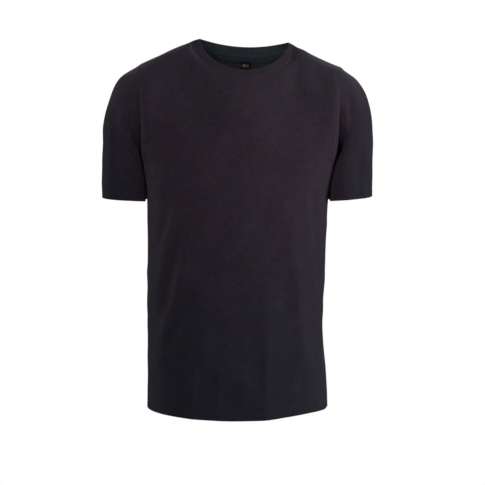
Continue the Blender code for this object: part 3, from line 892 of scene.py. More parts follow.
class Cloth:
    """A cut piece: a grid on the middle of the cloth, its normals, and how far each point is from a seam.
    Row 0 is its free edge. out is -1 where rows and columns turn the other way about."""

    def __init__(self, name, grid, closed, out, lift=True):
        self.name, self.closed, self.out = name, closed, out
        self.seams = sewn_distances(grid, closed)
        self.to_seam = np.minimum.reduce(self.seams)
        self.hem_run = run_from(grid, 0, False)
        if lift:
            grid = self.lifted(grid)
        self.grid = grid
        self.normals = normals_of(grid, closed, out)

    def fade(self, width):
        return np.multiply.reduce([eased(distance / width) for distance in self.seams])

    def lifted(self, grid):
        lift = fold_lift(self.name, grid) * self.fade(SEAM_FADE)
        lift += (crease_lift(self.name, grid) + slack_lift(grid)) * self.fade(CREASE_SEAM_FADE)
        grooves = sum(np.exp(-(((self.hem_run - row) / GROOVE_WIDTH) ** 2)) for row in NEEDLE_ROWS)
        lift -= GROOVE_DEPTH * grooves
        return grid + normals_of(grid, self.closed, self.out) * lift[..., None]

    def from_neck(self):
        """0 on the neck seam, 1 away from it."""
        if self.closed:
            return np.zeros(self.grid.shape[:2])
        along = eased((np.abs(FINE_STATIONS) - NECK_SHARE) / NECK_EASE)
        return np.maximum(eased(self.seams[0] / NECK_EASE_IN), along[None])

    def sewn_places(self):
        """Row and column numbers of the points on sewn edges."""
        rows, columns = self.grid.shape[:2]
        found = [(rows - 1, j) for j in range(columns)]
        if not self.closed:
            found += [(i, j) for j in (0, columns - 1) for i in range(rows - 1)]
        return found


print("needle grooves are", GROOVE_DEPTH * 1000, "mm deep")

# %% Cut the pieces and join their seams
SEAM_DIP = 0.0006
NECK_DIP = 0.0002
SEAM_DIP_WIDTH = 0.0016


def join_seams(cloths):
    """Gives the pieces that meet at a seam point the same normal there, then dips their edges along it."""
    def key(cloth, place):
        return tuple(np.round(cloth.grid[place], 5))

    sums = {}
    for cloth in cloths:
        for place in cloth.sewn_places():
            sums[key(cloth, place)] = sums.get(key(cloth, place), 0) + cloth.normals[place]
    for cloth in cloths:
        for place in cloth.sewn_places():
            cloth.normals[place] = unit(sums[key(cloth, place)])
    for cloth in cloths:
        dip = SEAM_DIP * np.exp(-((cloth.to_seam / SEAM_DIP_WIDTH) ** 2))
        if not cloth.closed or cloth.name == "neck_rib":
            dip *= NECK_DIP / SEAM_DIP + (1 - NECK_DIP / SEAM_DIP) * cloth.from_neck()
        cloth.grid = cloth.grid - cloth.normals * dip[..., None]


front = Cloth("front", fine_panel(-1), False, 1)
back = Cloth("back", fine_panel(1), False, -1)
sleeve_right = Cloth("sleeve_right", fine_sleeve(-1), True, -1)
sleeve_left = Cloth("sleeve_left", fine_sleeve(1), True, 1)
rib = Cloth("neck_rib", rib_net, True, -1, lift=False)
panels = (front, back, sleeve_right, sleeve_left)
join_seams([*panels, rib])
for cloth in (*panels, rib):
    print(cloth.name, "net", cloth.grid.shape[:2])

# %% [markdown]
# ## From a net to cloth with two faces
#
# A sheet of zero thickness would show no edge at the hem and nothing of its own inside. So each net is
# given an outer and an inner face, and its free edge is rolled over with a small arc, as a turned hem is.
# The whole skin is one long grid: down the inside, round the free edge and up the outside. The map that
# places the knit is in real metres, across and up, so that a loop of yarn is the same size everywhere.

# %% Map of a piece
def cloth_map(cloth):
    """Metres across and up the cloth at each point of its grid."""
    grid = cloth.grid
    if cloth.closed:
        ring = np.concatenate([grid, grid[:, :1]], axis=1)
        across = run_from(ring, 1, False)
        across = np.repeat(across[len(grid) // 2][None], len(grid), axis=0)
    else:
        across = run_from(grid, 1, False)
        across = across - across[:, [grid.shape[1] // 2]]
    up = run_from(grid, 0, False)
    if cloth.closed:
        up = np.concatenate([up, up[:, :1]], axis=1)
    return np.stack([across, up], axis=2)


print("the front's map reaches", cloth_map(front).max(axis=(0, 1)).round(3), "m across and up")

# %% Skin builder
ROLL_STEPS = 5


def skin(cloth, outer, inner, finishes):
    """Makes a piece's closed skin. outer and inner are the distances from its net to its two faces."""
    name = cloth.name + "_cloth"
    grid, normals = cloth.grid, cloth.normals
    rows, columns = grid.shape[:2]
    outer = np.broadcast_to(np.asarray(outer, float), (rows, columns))
    inner = np.broadcast_to(np.asarray(inner, float), (rows, columns))
    outside = grid + normals * outer[..., None]
    inside = grid - normals * inner[..., None]
    off_edge = unit(grid[0] - grid[1])
    radius = ((outer[0] + inner[0]) / 2)[:, None]
    centre = (outside[0] + inside[0]) / 2
    arc = [
        centre + radius * (off_edge * math.sin(a) - normals[0] * math.cos(a))
        for a in np.linspace(0, math.pi, ROLL_STEPS + 2)[1:-1]
    ]
    layers = np.concatenate([inside[::-1], arc, outside])
    place = cloth_map(cloth)
    turn = radius[0, 0] * math.pi * np.linspace(-1, 0, ROLL_STEPS + 2)[1:-1]
    rolled = [np.stack([place[0, :, 0], np.full(place.shape[1], down)], axis=1) for down in turn]
    places = np.concatenate([place[::-1], rolled, place])
    wear = cloth.to_seam
    wears = np.concatenate([wear[::-1], np.repeat(wear[:1], ROLL_STEPS, axis=0), wear])
    count = len(layers)
    around = columns if cloth.closed else columns - 1
    i, j = (n.ravel() for n in np.meshgrid(np.arange(count - 1), np.arange(around), indexing="ij"))
    k = (j + 1) % columns
    below, above = i * columns, (i + 1) * columns
    faces = np.stack([below + j, below + k, above + k, above + j], axis=1)
    corner = np.stack([places[i, j], places[i, j + 1], places[i + 1, j + 1], places[i + 1, j]], axis=1)
    kind = (i < rows - 1).astype(int)
    faces, corner, kind = list(map(tuple, faces)), list(corner.reshape(-1, 2)), list(kind)
    following = [(j, (j + 1) % columns) for j in range(around)]
    ends = [[(0, j), (0, k), (count - 1, k), (count - 1, j)] for j, k in following]
    if not cloth.closed:
        for j in (0, columns - 1):
            for i in range(rows - 1):
                ends.append([(i, j), (i + 1, j), (count - 2 - i, j), (count - 1 - i, j)])
            ends.append([(i, j) for i in range(rows - 1, rows + ROLL_STEPS + 1)])
    for end in ends:
        faces.append(tuple(i * columns + j for i, j in end))
        corner.extend(places[i, j] for i, j in end)
        kind.append(1)
    mesh = bpy.data.meshes.new(name)
    mesh.from_pydata(layers.reshape(-1, 3), [], faces)
    mesh.uv_layers.new(name="cloth").data.foreach_set("uv", np.asarray(corner, np.float32).ravel())
    mesh.polygons.foreach_set("material_index", np.asarray(kind, np.int32))
    worn = mesh.attributes.new("to_seam", "FLOAT", "POINT")
    worn.data.foreach_set("value", wears.astype(np.float32).ravel())
    return finished(mesh, finishes, name)


print("a free edge turns over in", ROLL_STEPS + 1, "steps")

# %% Finish a mesh
SHARP = math.radians(60)


def finished(mesh, finishes, name):
    """Turns the mesh's faces outwards, smooths it, and puts it on the body."""
    tidy = bmesh.new()
    tidy.from_mesh(mesh)
    bmesh.ops.recalc_face_normals(tidy, faces=tidy.faces)
    tidy.to_mesh(mesh)
    tidy.free()
    mesh.shade_smooth()
    mesh.set_sharp_from_angle(angle=SHARP)
    for finish in finishes:
        mesh.materials.append(finish)
    shown = bpy.data.objects.new(name, mesh)
    bpy.context.scene.collection.objects.link(shown)
    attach(shown, "root")
    print(name, len(mesh.polygons), "faces")
    return shown


print("faces that meet at more than", round(math.degrees(SHARP)), "degrees stay sharp")

# %% [markdown]
# ## Knit
#
# Jersey has two different faces. Outside, each loop shows as a small V, and the Vs stack into columns,
# called wales. Inside, the tops of the loops lie across as rows of little arcs. Both come from the same two
# counts, the width of a wale and the height of a course, so one node group makes both. It puts out heights
# only. The shader and the bump stay in each material.

# %% Group helper
def group(name, inputs, outputs):
    """An empty node group with named sockets: float, vector or colour."""
    kinds = {"float": "NodeSocketFloat", "vector": "NodeSocketVector", "color": "NodeSocketColor"}
    tree = bpy.data.node_groups.new(name, "ShaderNodeTree")
    for socket, kind, default in inputs:
        made = tree.interface.new_socket(socket, in_out="INPUT", socket_type=kinds[kind])
        if default is not None:
            made.default_value = default
    for socket, kind in outputs:
        tree.interface.new_socket(socket, in_out="OUTPUT", socket_type=kinds[kind])
    return tree, tree.nodes.new("NodeGroupInput"), tree.nodes.new("NodeGroupOutput")


print("a group's sockets are floats, vectors and colours")

# %% Knit group
def knit_group():
    """Heights of a jersey's face and of its inside, for a map in metres."""
    inputs = (("Map", "vector", None), ("Wale", "float", 0.0008), ("Course", "float", 0.0006))
    tree, given, put = group("jersey knit", inputs, (("Face", "float"), ("Inside", "float")))
    x, y, _ = split(tree, given.outputs["Map"])
    wale = maths(tree, "DIVIDE", x, given.outputs["Wale"])
    course = maths(tree, "DIVIDE", y, given.outputs["Course"])
    aside = maths(tree, "ABSOLUTE", maths(tree, "SUBTRACT", maths(tree, "FRACT", wale), 0.5))
    leg = wave(tree, maths(tree, "MULTIPLY_ADD", aside, 2.0, 0.5))
    slant = maths(tree, "MULTIPLY_ADD", aside, 1.3, course)
    loop = maths(tree, "MULTIPLY", leg, maths(tree, "MULTIPLY_ADD", wave(tree, slant), 0.55, 0.45))
    tree.links.new(loop, put.inputs["Face"])
    arc = maths(tree, "MULTIPLY_ADD", wave(tree, wale), 0.35, course)
    tree.links.new(wave(tree, arc), put.inputs["Inside"])
    return tree


knit = knit_group()
print("group:", knit.name)

# %% [markdown]
# ## Dye, painted light and fibre
#
# Black dye on cotton isn't neutral. Outside, its colour carries painted light from above: it is painted
# lighter and towards plum over the shoulders and chest, and painted darker and blue-black lower down and on
# the sleeves, as painted shade. The insides take colours of their own. Nor does cotton take dye evenly:
# patches a fingertip wide lean to plum or to blue. It also carries fine lint that catches the light, and it
# is rubbed a little paler on its seams. One group works out that colour from the place on the body, and a
# second one gives the fibre's fuzz.

# %% Dye group
# Heights of the painted light from above, and how far the sleeves count as lower down, as painted shade.
PAINTED_LIGHT_LOW, PAINTED_LIGHT_HIGH = -0.70, -0.18
PAINTED_TOP_LOW, PAINTED_TOP_HIGH = -0.15, -0.05
SLEEVE_START, SLEEVE_FULL = 0.17, 0.25
SLEEVE_SHADE = 0.30
PLUM_LEAN, BLUE_LEAN = 0.19, 0.21
WIDE_SCALE, WIDE_SHIFT = 9.0, 0.24
PATCH_SCALE, SPECK_SCALE = 42.0, 180.0
MOTTLE_SCALE, LINT_SCALE = 75.0, 480.0
RUB_REACH = 0.004


def uneven(tree, place, shift, lean):
    """A number that varies in patches and specks between -lean and lean. The shift picks other noise."""
    moved = added(tree, "VectorMath", {0: place, 1: (shift,) * 3}, operation="ADD")
    patch = mapped(tree, noise(tree, moved, PATCH_SCALE, 2.0, 0.6), 0.32, 0.68)
    speck = mapped(tree, noise(tree, moved, SPECK_SCALE, 1.0), 0.3, 0.7)
    taken = maths(tree, "MULTIPLY_ADD", patch, 0.6, maths(tree, "MULTIPLY", speck, 0.4))
    return mapped(tree, taken, 0.0, 1.0, -lean, lean, soft=False)


def dye_and_light_group():
    """The cloth's colour at a place: painted shade low down, painted light high up, uneven, rubbed at seams.
    """
    inputs = (
        ("Place", "vector", None), ("Fresh", "color", None), ("Faded", "color", None),
        ("Worn", "color", None), ("Fade", "float", 1.0), ("Lean", "float", 1.0),
        ("To seam", "float", 1.0), ("Rub", "float", 0.05),
    )
    tree, given, put = group("dye_and_light", inputs, (("Color", "color"),))
    place = given.outputs["Place"]
    x, _, height = split(tree, place)
    wide = maths(tree, "SUBTRACT", noise(tree, place, WIDE_SCALE, 3.0), 0.5)
    risen = maths(tree, "MULTIPLY_ADD", wide, WIDE_SHIFT, height)
    # Painted shade on the sleeves: they count as lower down, so they stay darker and bluer.
    shaded_sleeve = mapped(tree, maths(tree, "ABSOLUTE", x), SLEEVE_START, SLEEVE_FULL, 0.0, SLEEVE_SHADE)
    # Painted light from above: the colour turns lighter and more plum higher up.
    painted_light = mapped(tree, maths(tree, "SUBTRACT", risen, shaded_sleeve), PAINTED_LIGHT_LOW, PAINTED_LIGHT_HIGH)
    painted_light = maths(tree, "MULTIPLY", painted_light, given.outputs["Fade"])
    color = blended(tree, painted_light, given.outputs["Fresh"], given.outputs["Faded"])
    # Painted light at the top: the shoulders and collar take the top colour.
    painted_top = maths(tree, "MULTIPLY", mapped(tree, risen, PAINTED_TOP_LOW, PAINTED_TOP_HIGH), given.outputs["Fade"])
    color = blended(tree, painted_top, color, given.outputs["Worn"])
    mottle = mapped(tree, noise(tree, place, MOTTLE_SCALE, 3.0, 0.6), 0.3, 0.7, 0.93, 1.07)
    lint = mapped(tree, noise(tree, place, LINT_SCALE, 1.0, 0.7), 0.32, 0.72, 0.76, 1.32)
    shade = maths(tree, "MULTIPLY", mottle, lint)
    near = mapped(tree, given.outputs["To seam"], 0.0, RUB_REACH, 1.0, 0.0)
    shade = maths(tree, "MULTIPLY", shade, maths(tree, "MULTIPLY_ADD", near, given.outputs["Rub"], 1.0))
    channels = {"Green": shade}
    for channel, shift, lean in (("Red", 0.0, PLUM_LEAN), ("Blue", 7.3, BLUE_LEAN)):
        leaning = maths(tree, "MULTIPLY_ADD", uneven(tree, place, shift, lean), given.outputs["Lean"], 1.0)
        channels[channel] = maths(tree, "MULTIPLY", shade, leaning)
    tone = added(tree, "CombineColor", channels)
    feed(tree, put, "Color", blended(tree, 1.0, color, tone, "MULTIPLY"))
    return tree


dye_and_light = dye_and_light_group()
print("group:", dye_and_light.name)

# %% Fuzz group
CLUMP_SCALE = 110.0


def fuzz_group():
    """A height and a mask for the short fibres that stand off a cotton surface."""
    inputs = (("Place", "vector", None), ("Length", "float", 0.0012))
    tree, given, put = group("fuzz", inputs, (("Height", "float"), ("Mask", "float")))
    scale = maths(tree, "DIVIDE", 1.0, given.outputs["Length"])
    hair = noise(tree, given.outputs["Place"], scale, 3.0, 0.65)
    clump = maths(tree, "MULTIPLY", noise(tree, given.outputs["Place"], CLUMP_SCALE, 2.0), 0.3)
    feed(tree, put, "Height", maths(tree, "MULTIPLY_ADD", hair, 0.7, clump))
    feed(tree, put, "Mask", mapped(tree, hair, 0.55, 0.75))
    return tree


fuzz = fuzz_group()
print("group:", fuzz.name)

# %% [markdown]
# ## The shirt's materials
#
# Cotton has no real gloss, so its shine is low and broad, and a little sheen stands for the fibre ends that
# light up where the cloth turns away. Those numbers are the same all over, so they are set on the shader
# itself. What changes over the cloth, its colour, its roughness and its height, comes from the groups.

# %% Shader helpers
SHEEN_TINT = (0.80, 0.76, 0.84, 1)


def use(tree, made, **values):
    """Places a group and gives back its outputs. An underscore stands for a space in a socket's name."""
    node = tree.nodes.new("ShaderNodeGroup")
    node.node_tree = made
    for socket, value in values.items():
        feed(tree, node, socket.replace("_", " "), value)
    return node.outputs


def plain_shader(name, roughness, shine, sheen):
    """A material with its shader's constant values set."""
    made = bpy.data.materials.new(name)
    made.use_nodes = True
    shader = made.node_tree.nodes["Principled BSDF"]
    shader.inputs["Roughness"].default_value = roughness
    shader.inputs["Specular IOR Level"].default_value = shine
    shader.inputs["Sheen Weight"].default_value = sheen
    shader.inputs["Sheen Roughness"].default_value = 0.5
    shader.inputs["Sheen Tint"].default_value = SHEEN_TINT
    return made, shader


def map_of(tree):
    return added(tree, "UVMap", uv_map="cloth")


def seam_of(tree):
    return added(tree, "Attribute", output="Fac", attribute_name="to_seam")


def bumped(tree, height, distance, strength=1.0, below=None):
    inputs = {"Distance": distance, "Strength": strength, "Height": height, "Normal": below}
    return added(tree, "Bump", inputs)


print("sheen tint", SHEEN_TINT[:3])

# %% Knit materials
# The outer colours are a gradient of painted light: painted shade, blue-black, low down and on the sleeves;
# painted light, plum, on the chest; and the colour at the top of the shoulders and collar.
SHADED_BELOW = (0.0158, 0.0149, 0.0271, 1)
LIT_ABOVE = (0.0339, 0.0215, 0.0363, 1)
LIT_TOP = (0.0321, 0.0252, 0.0390, 1)
# The inside colours are painted lighter, the rib's inside also teal-blue, for the light that reaches into
# the back neck.
INSIDE = (0.0390, 0.0395, 0.0415, 1)
RIB_INSIDE = (0.0500, 0.0690, 0.0890, 1)
WALE, COURSE, RIB_COURSE = 0.00080, 0.00062, 0.00070
# Painted shade in the hollows between the knit loops and painted light on their tops.
LOOP_DARK, LOOP_LIGHT = 0.72, 1.10
FUZZ_GLOW = 0.16
SOFT_SCALE = 60.0


def knitted(name, side, wale, course, gradient_colors, fade, lean, relief, sheen):
    """A knit cloth's material. side is the knit group's output that shows: Face or Inside."""
    made, shader = plain_shader(name, 0.9, 0.16, sheen)
    tree = made.node_tree
    place, seam = place_of(tree), seam_of(tree)
    loops = use(tree, knit, Map=map_of(tree), Wale=wale, Course=course)[side]
    hair = use(tree, fuzz, Place=place)
    # The three colours of the painted light gradient, from low to high.
    colors = dict(zip(("Fresh", "Faded", "Worn"), gradient_colors))
    toned = use(tree, dye_and_light, Place=place, **colors, Fade=fade, Lean=lean, To_seam=seam)["Color"]
    # Painted shade in the hollows between loops, painted light on their tops.
    shade = mapped(tree, loops, 0.0, 0.9, LOOP_DARK, LOOP_LIGHT, soft=False)
    lit = maths(tree, "MULTIPLY_ADD", hair["Mask"], FUZZ_GLOW, shade)
    feed(tree, shader, "Base Color", times_grey(tree, toned, lit))
    feed(tree, shader, "Roughness", mapped(tree, hair["Height"], 0.3, 0.7, 0.84, 0.96))
    soft = bumped(tree, noise(tree, place, SOFT_SCALE, 3.0, 0.55), 0.0009, 0.5)
    wool = bumped(tree, hair["Height"], 0.0002, 0.6, soft)
    feed(tree, shader, "Normal", bumped(tree, loops, relief, 0.8, wool))
    return made


PAINTED_GRADIENT, INNER, RIB_INNER = (SHADED_BELOW, LIT_ABOVE, LIT_TOP), (INSIDE,) * 3, (RIB_INSIDE,) * 3
jersey = knitted("jersey", "Face", WALE, COURSE, PAINTED_GRADIENT, 1.0, 1.0, 0.00022, 0.10)
jersey_inside = knitted("jersey inside", "Inside", WALE, COURSE, INNER, 0.0, 0.4, 0.00020, 0.10)
rib_loops = RIDGE_PITCH, RIB_COURSE
ribbing = knitted("ribbing", "Face", *rib_loops, PAINTED_GRADIENT, 1.0, 0.8, 0.00020, 0.12)
ribbing_inside = knitted("ribbing inside", "Face", *rib_loops, RIB_INNER, 0.0, 0.3, 0.00020, 0.12)
print("materials:", jersey.name, jersey_inside.name, ribbing.name, ribbing_inside.name)

# %% [markdown]
# ## Front, back and sleeves
#
# The cloth is about a millimetre thick. The lowest 20 mm are turned up inside and sewn, so the inner face
# steps in there by the thickness of a second layer.

# %% Body pieces
CLOTH = 0.0010
HEM_LAYER = 0.0009
HEM_STEP, HEM_STEP_WIDTH = 0.0012, 0.0018


def hemmed(cloth):
    """Distance from the net to the inner face, with the second layer of the hem."""
    return CLOTH / 2 + HEM_LAYER * eased((HEM_DEPTH + HEM_STEP - cloth.hem_run) / HEM_STEP_WIDTH)


bodies = {}
for cloth in panels:
    made = skin(cloth, CLOTH / 2, hemmed(cloth), (jersey, jersey_inside))
    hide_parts(cloth.name)
    bodies[cloth.name] = made

# %% Neck rib
RIB = 0.0022
RIDGE_RISE = 0.00020
RIB_JOIN = 0.30
AIR = 0.0001

rows, columns = rib.grid.shape[:2]
ridge = np.cos(2 * math.pi * np.arange(columns) / RIDGE_SAMPLES)
ridge = np.sign(ridge) * np.abs(ridge) ** 0.7
share = np.linspace(0, 1, rows)[:, None]
press = 1 - 0.75 * eased((share - (1 - RIB_JOIN)) / RIB_JOIN)
to_jersey = eased((share - 0.35) / 0.65)
half_rib = RIB / 2 * (1 - to_jersey) + (CLOTH / 2 + AIR) * to_jersey
faces_of_rib = half_rib + RIDGE_RISE * press * ridge[None]
neck_rib = skin(rib, faces_of_rib, faces_of_rib, (ribbing, ribbing_inside))
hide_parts("neck_rib")

# %% [markdown]
# ## Tape and tab
#
# A narrow cotton tape covers the raw neck seam across the back, so that it doesn't rub. It is woven in
# herringbone: slanting lines that turn back every few millimetres. The tab under it is a close satin weave
# with two plain bars woven into it where a maker would put a name.

# %% Strips along an edge
def inset(cloth, edge, distances):
    """Points and normals of a piece at distances in from one of its edges."""
    def lines(array):
        sides = {"bottom": array, "top": array[::-1]}
        sides |= {"right": array.transpose(1, 0, 2), "left": array[:, ::-1].transpose(1, 0, 2)}
        return sides[edge]

    grid, normals = lines(cloth.grid), lines(cloth.normals)
    run = run_along(grid)
    at = np.repeat(np.asarray(distances)[:, None], grid.shape[1], axis=1)
    return read_columns(grid, run, at), unit(read_columns(normals, run, at))


def strip(name, points, normals, inward, thickness, finishes):
    """A thin flat strip that lies inside the cloth. Row 0 of its points is its free edge."""
    cloth = Cloth(name, points - normals * (inward + thickness / 2), False, 1, lift=False)
    if (cloth.normals * normals).sum() < 0:
        cloth.normals = -cloth.normals
    return cloth, skin(cloth, thickness / 2, thickness / 2, finishes)


print("the top edge of the back is", round(run_along(back.grid[-1])[-1], 3), "m long")

# %% Weaves
BARS = ((-0.0062, 0.0006, 0.0052, 0.0112), (0.0028, 0.0056, 0.0052, 0.0112))
BAR_COLOR = (0.20, 0.20, 0.20, 1)
BAR_EDGE = 0.0002
HERRINGBONE_TURN, HERRINGBONE_RIB = 0.0030, 0.0011
SATIN_ROW, SATIN_FLOAT = 0.00022, 0.0012


def herringbone(tree, flat):
    """Slanting ribs that turn back every few millimetres."""
    x, y, _ = split(tree, flat)
    back_and_forth = maths(tree, "PINGPONG", y, HERRINGBONE_TURN)
    return wave(tree, maths(tree, "DIVIDE", maths(tree, "ADD", x, back_and_forth), HERRINGBONE_RIB))


def satin(tree, flat):
    """Long floats beside each other, each row shifted from the last."""
    x, y, _ = split(tree, flat)
    row = maths(tree, "DIVIDE", y, SATIN_ROW)
    start = maths(tree, "DIVIDE", x, SATIN_FLOAT)
    shifted = maths(tree, "MULTIPLY_ADD", maths(tree, "FLOOR", row), 0.4, start)
    between_rows = maths(tree, "MULTIPLY", wave(tree, row), 0.65)
    return maths(tree, "MULTIPLY_ADD", wave(tree, shifted), 0.35, between_rows)


def plain_bars(tree, flat):
    """A mask of two plain bars, a wide one and a narrow one, side by side."""
    x, y, _ = split(tree, flat)

    def box(left, right, low, high):
        inside = 1.0
        for value, edge, start in ((x, left, 0.0), (x, right, 1.0), (y, low, 0.0), (y, high, 1.0)):
            step = mapped(tree, value, edge - BAR_EDGE, edge + BAR_EDGE, start, 1.0 - start)
            inside = maths(tree, "MULTIPLY", step, inside)
        return inside

    return maths(tree, "MAXIMUM", box(*BARS[0]), box(*BARS[1]))


print("the herringbone turns every", round(1000 * HERRINGBONE_TURN), "mm")

# %% Woven materials
# Painted shade in the low parts of the weave and painted light on its raised threads.
WEAVE_DARK, WEAVE_LIGHT = 0.65, 1.15


def woven(name, color, roughness, shine, sheen, weave, relief, bars=None):
    """A woven material. weave builds its heights from the map, and bars lightens its colour in places."""
    made, shader = plain_shader(name, roughness, shine, sheen)
    tree = made.node_tree
    place, flat = place_of(tree), map_of(tree)
    height = weave(tree, flat)
    hair = use(tree, fuzz, Place=place, Length=0.0009)["Height"]
    toned = use(tree, dye_and_light, Place=place, Fresh=color, Faded=color, Worn=color, Fade=0.0, Lean=0.2)["Color"]
    if bars:
        toned = blended(tree, bars(tree, flat), toned, BAR_COLOR)
    # Painted shade in the low parts of the weave, painted light on its raised threads.
    shade = mapped(tree, height, 0.0, 1.0, WEAVE_DARK, WEAVE_LIGHT, soft=False)
    feed(tree, shader, "Base Color", times_grey(tree, toned, shade))
    rough = mapped(tree, hair, 0.3, 0.7, roughness - 0.05, roughness + 0.05)
    feed(tree, shader, "Roughness", rough)
    wool = bumped(tree, hair, 0.0001, 0.5)
    feed(tree, shader, "Normal", bumped(tree, height, relief, 0.8, wool))
    return made


# The tape's colour is painted lighter and bluer for the light that reaches into the back neck.
taping = woven("taping", (0.0290, 0.0390, 0.0470, 1), 0.82, 0.25, 0.20, herringbone, 0.00025)
tabbing = woven("tabbing", (0.0055, 0.0055, 0.0062, 1), 0.55, 0.40, 0.05, satin, 0.00008, plain_bars)
print("materials:", taping.name, tabbing.name)

# %% Neck tape
TAPE_WIDTH = 0.0110
TAPE_DROP = 0.0014
TAPE = 0.0008
TAPE_ENDS = NECK_SHARE * 7 / 8

tape_columns = np.abs(FINE_STATIONS) <= TAPE_ENDS + 1e-6
tape_rows = TAPE_DROP + TAPE_WIDTH * np.linspace(1, 0, 12)
points, turned = inset(back, "top", tape_rows)
points, turned = points[:, tape_columns], turned[:, tape_columns]
tape, neck_tape = strip("neck_tape", points, turned, CLOTH / 2 + AIR, TAPE, (taping, taping))
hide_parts("neck_tape")

# %% Size tab
TAB_WIDTH = 0.0180
TAB_LENGTH = 0.0170
TAB_DROP = 0.0095
TAB_MIDDLE = 0.0170
TAB = 0.0006
TAB_GAP = 0.0006


def columns_at(array, places):
    """Columns of an array between its own ones, at fractional column numbers."""
    low = np.floor(places).astype(int)
    part = (places - low)[None, :, None]
    return array[:, low] * (1 - part) + array[:, low + 1] * part


xs = TAB_MIDDLE + TAB_WIDTH * np.linspace(-0.5, 0.5, 21)
numbers = np.interp(xs, back.grid[-1, :, 0], np.arange(back.grid.shape[1]))
tab_rows = TAB_DROP + TAB_LENGTH * np.linspace(1, 0, 20)
points, turned = (columns_at(found, numbers) for found in inset(back, "top", tab_rows))
tab, size_tab = strip("size_tab", points, turned, CLOTH / 2 + TAPE + TAB_GAP, TAB, (tabbing, tabbing))
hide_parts("size_tab")

# %% [markdown]
# ## Sewing
#
# Hems and cuffs are sewn with a twin needle: two rows of short stitches outside, and a thread that zigzags
# between them inside. The seams are overlocked: the two edges are pressed to one side inside the shirt and
# wrapped in thread. Each stitch is a small bead of thread, thin where it dips into the cloth. They are all
# copies of one shape, so they are made together as one mesh.

# %% Thread material
def thread_material():
    made, shader = plain_shader("thread", 0.6, 0.35, 0.10)
    tree = made.node_tree
    x, y, _ = split(tree, map_of(tree))
    twist = maths(tree, "ADD", x, maths(tree, "MULTIPLY", y, 0.6))
    ply = wave(tree, maths(tree, "DIVIDE", twist, 0.00045))
    # Painted shade in the grooves between the plies and painted light on their crowns.
    color = blended(tree, ply, (0.0090, 0.0085, 0.0110, 1), (0.0240, 0.0215, 0.0270, 1))
    feed(tree, shader, "Base Color", color)
    feed(tree, shader, "Roughness", mapped(tree, noise(tree, place_of(tree), 500.0), 0.3, 0.7, 0.5, 0.7))
    feed(tree, shader, "Normal", bumped(tree, ply, 0.00008, 0.8))
    return made


thread = thread_material()
print("material:", thread.name)

# %% Beads of thread
STITCH_SIDES = 6
THREAD_RADIUS = 0.00017
# Each row is how far along the bead, how thick it is there and how high it stands.
STITCH_PROFILE = (
    (-0.50, 0.35, -0.9), (-0.36, 0.95, -0.1), (0.0, 1.0, 0.15), (0.36, 0.95, -0.1), (0.50, 0.35, -0.9),
)


def spaced(line, pitch):
    """Distances every pitch along a line, and the length along it at each of its own points."""
    run = run_along(line)
    return np.arange(pitch / 2, run[-1], pitch), run


def beads(middles, ways, normals, length):
    """Vertices, faces and map of one thread bead for each middle, lying along its way."""
    ways = unit(ways - (ways * normals).sum(axis=1)[:, None] * normals)
    aside = np.cross(normals, ways)
    rings, maps = [], []
    for along, thick, high in STITCH_PROFILE:
        for k in range(STITCH_SIDES):
            a = 2 * math.pi * k / STITCH_SIDES
            rings.append(
                middles + ways * along * length
                + aside * THREAD_RADIUS * thick * math.cos(a)
                + normals * THREAD_RADIUS * (high + thick * math.sin(a))
            )
            maps.append((along * length, a * THREAD_RADIUS))
    points = np.stack(rings, axis=1)
    count = len(STITCH_PROFILE)
    faces = [
        (r * STITCH_SIDES + k, r * STITCH_SIDES + (k + 1) % STITCH_SIDES,
         (r + 1) * STITCH_SIDES + (k + 1) % STITCH_SIDES, (r + 1) * STITCH_SIDES + k)
        for r in range(count - 1) for k in range(STITCH_SIDES)
    ]
    caps = [tuple(range(STITCH_SIDES)), tuple(range((count - 1) * STITCH_SIDES, count * STITCH_SIDES))]
    return points, faces + caps, maps


print("a stitch has", len(STITCH_PROFILE) * STITCH_SIDES, "points")

# %% Rows of stitches
INTO = 0.001
SLANT = 0.25


def sew(name, batches):
    """One mesh of all the stitches in some batches, each (points, faces, maps)."""
    points, faces, maps, start = [], [], [], 0
    for verts, shape, flat in batches:
        for bead in verts:
            points.append(bead)
            faces += [tuple(start + v for v in face) for face in shape]
            maps += [flat[v] for face in shape for v in face]
            start += len(bead)
    mesh = bpy.data.meshes.new(name)
    mesh.from_pydata(np.concatenate(points), [], faces)
    mesh.uv_layers.new(name="cloth").data.foreach_set("uv", np.asarray(maps, np.float32).ravel())
    made = finished(mesh, (thread,), name)
    return made


def stitch_row(cloth, distance, side, offset, pitch, length, edge="bottom", across=False):
    """Beads along a line at a distance in from an edge. side is 1 outside and -1 inside the cloth."""
    points, normals = inset(cloth, edge, [max(distance - INTO, 0), distance])
    line, turned, into = points[1], normals[1] * side, points[1] - points[0]
    if cloth.closed:
        line, turned, into = (np.concatenate([a, a[:1]]) for a in (line, turned, into))
    at, run = spaced(line, pitch)
    middles, facing = read(line, run, at), read(turned, run, at)
    ways = read(line, run, at + 1e-4) - read(line, run, at - 1e-4)
    if across:
        ways = read(into, run, at) / INTO + SLANT * unit(ways)
    facing = unit(facing)
    return beads(middles + facing * offset, ways, facing, length)


print("stitches across a hem slant by", SLANT, "of their length")

# %% Hem stitches
NEEDLE_PITCH = 0.0032
ZIGZAG_PITCH = 0.0016

for cloth in panels:
    rows = [
        stitch_row(cloth, row, 1, CLOTH / 2, NEEDLE_PITCH, NEEDLE_PITCH * 0.86) for row in NEEDLE_ROWS
    ]
    middle = (NEEDLE_ROWS[0] + NEEDLE_ROWS[1]) / 2 + 0.0008
    width = NEEDLE_ROWS[1] - NEEDLE_ROWS[0] + 0.002
    rows.append(stitch_row(cloth, middle, -1, CLOTH / 2 + HEM_LAYER, ZIGZAG_PITCH, width, across=True))
    sew("hem_thread_" + cloth.name, rows)

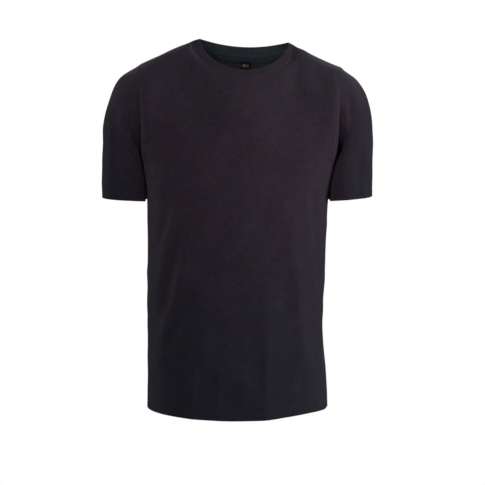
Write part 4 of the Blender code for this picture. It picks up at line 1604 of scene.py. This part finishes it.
# %% Tape stitches
tape_rows = [stitch_row(tape, 0.0012, -1, TAPE / 2, 0.0026, 0.0022, edge) for edge in ("bottom", "top")]
tape_thread = sew("tape_thread", tape_rows)

# %% Pressed seam edges
FLAP_WIDTH = 0.0060
FLAP_START = 0.0006
FLAP_ROWS = 6
FLAP_WAVE = 0.00015
FLAP = 0.0014
OVERLOCK_PITCH = 0.0024


def flap(name, cloth, edge, keep=slice(None)):
    """The pressed and overlocked edges of a seam, inside the shirt along one edge of a piece."""
    points, normals = inset(cloth, edge, np.linspace(FLAP_WIDTH, FLAP_START, FLAP_ROWS))
    points, normals = points[:, keep], normals[:, keep]
    waves = np.sin(np.arange(points.shape[1]) * 0.9)[None]
    rise = waves * np.linspace(1, 0, FLAP_ROWS)[:, None] * FLAP_WAVE
    points = points - normals * rise[..., None]
    band, made = strip(name, points, normals, CLOTH / 2, FLAP, (jersey_inside, jersey_inside))
    wrap = stitch_row(band, FLAP_WIDTH / 2, -1, FLAP / 2, OVERLOCK_PITCH, FLAP_WIDTH * 0.9, across=True)
    return [made, sew(name + "_thread", [wrap])]


torso_rows = (FINE_ROWS > HEM_DEPTH + 0.002) & (FINE_ROWS <= TORSO_RISE + 1e-6)
sewn_inside = {cloth.name: [] for cloth in panels}
for side in ("right", "left"):
    sewn_inside["back"] += flap("side_seam_" + side, back, side, torso_rows)
for side, sign in (("right", -1), ("left", 1)):
    over = sign * FINE_STATIONS >= NECK_SHARE
    sewn_inside["back"] += flap("shoulder_seam_" + side, back, "top", over)
sewn_inside["front"] += flap("neck_seam_front", front, "top", np.abs(FINE_STATIONS) <= NECK_SHARE)
for cloth in (sleeve_right, sleeve_left):
    sewn_inside[cloth.name] += flap("armhole_seam_" + cloth.name.removeprefix("sleeve_"), cloth, "top")

# %% [markdown]
# ## What each piece was cut to
#
# A panel is cut flat and keeps its area when it is worn, because jersey gives a little but does not grow.
# So each piece states the rectangle that it was cut from and its area, measured along its own threads.

def across_and_up(cloth):
    """Greatest width and length of a piece along its own rows and columns, and its area."""
    grid = cloth.grid
    if cloth.closed:
        grid = np.concatenate([grid, grid[:, :1]], axis=1)
    width = run_from(grid, 1, False)[:, -1].max()
    length = run_from(grid, 0, False)[-1].max()
    side, up = np.diff(grid, axis=1)[:-1], np.diff(grid, axis=0)[:, :-1]
    return width, length, float(np.linalg.norm(np.cross(side, up), axis=2).sum())


def declare(made, cloth):
    width, length, area = across_and_up(cloth)
    width, length = round(width, 3), round(length, 3)
    area = round(min(area, 0.999 * width * length), 4)
    print(made.name, "cut", width, "x", length, "m,", area, "square metres")


for cloth in panels:
    declare(bodies[cloth.name], cloth)
declare(neck_rib, rib)
declare(neck_tape, tape)
declare(size_tab, tab)
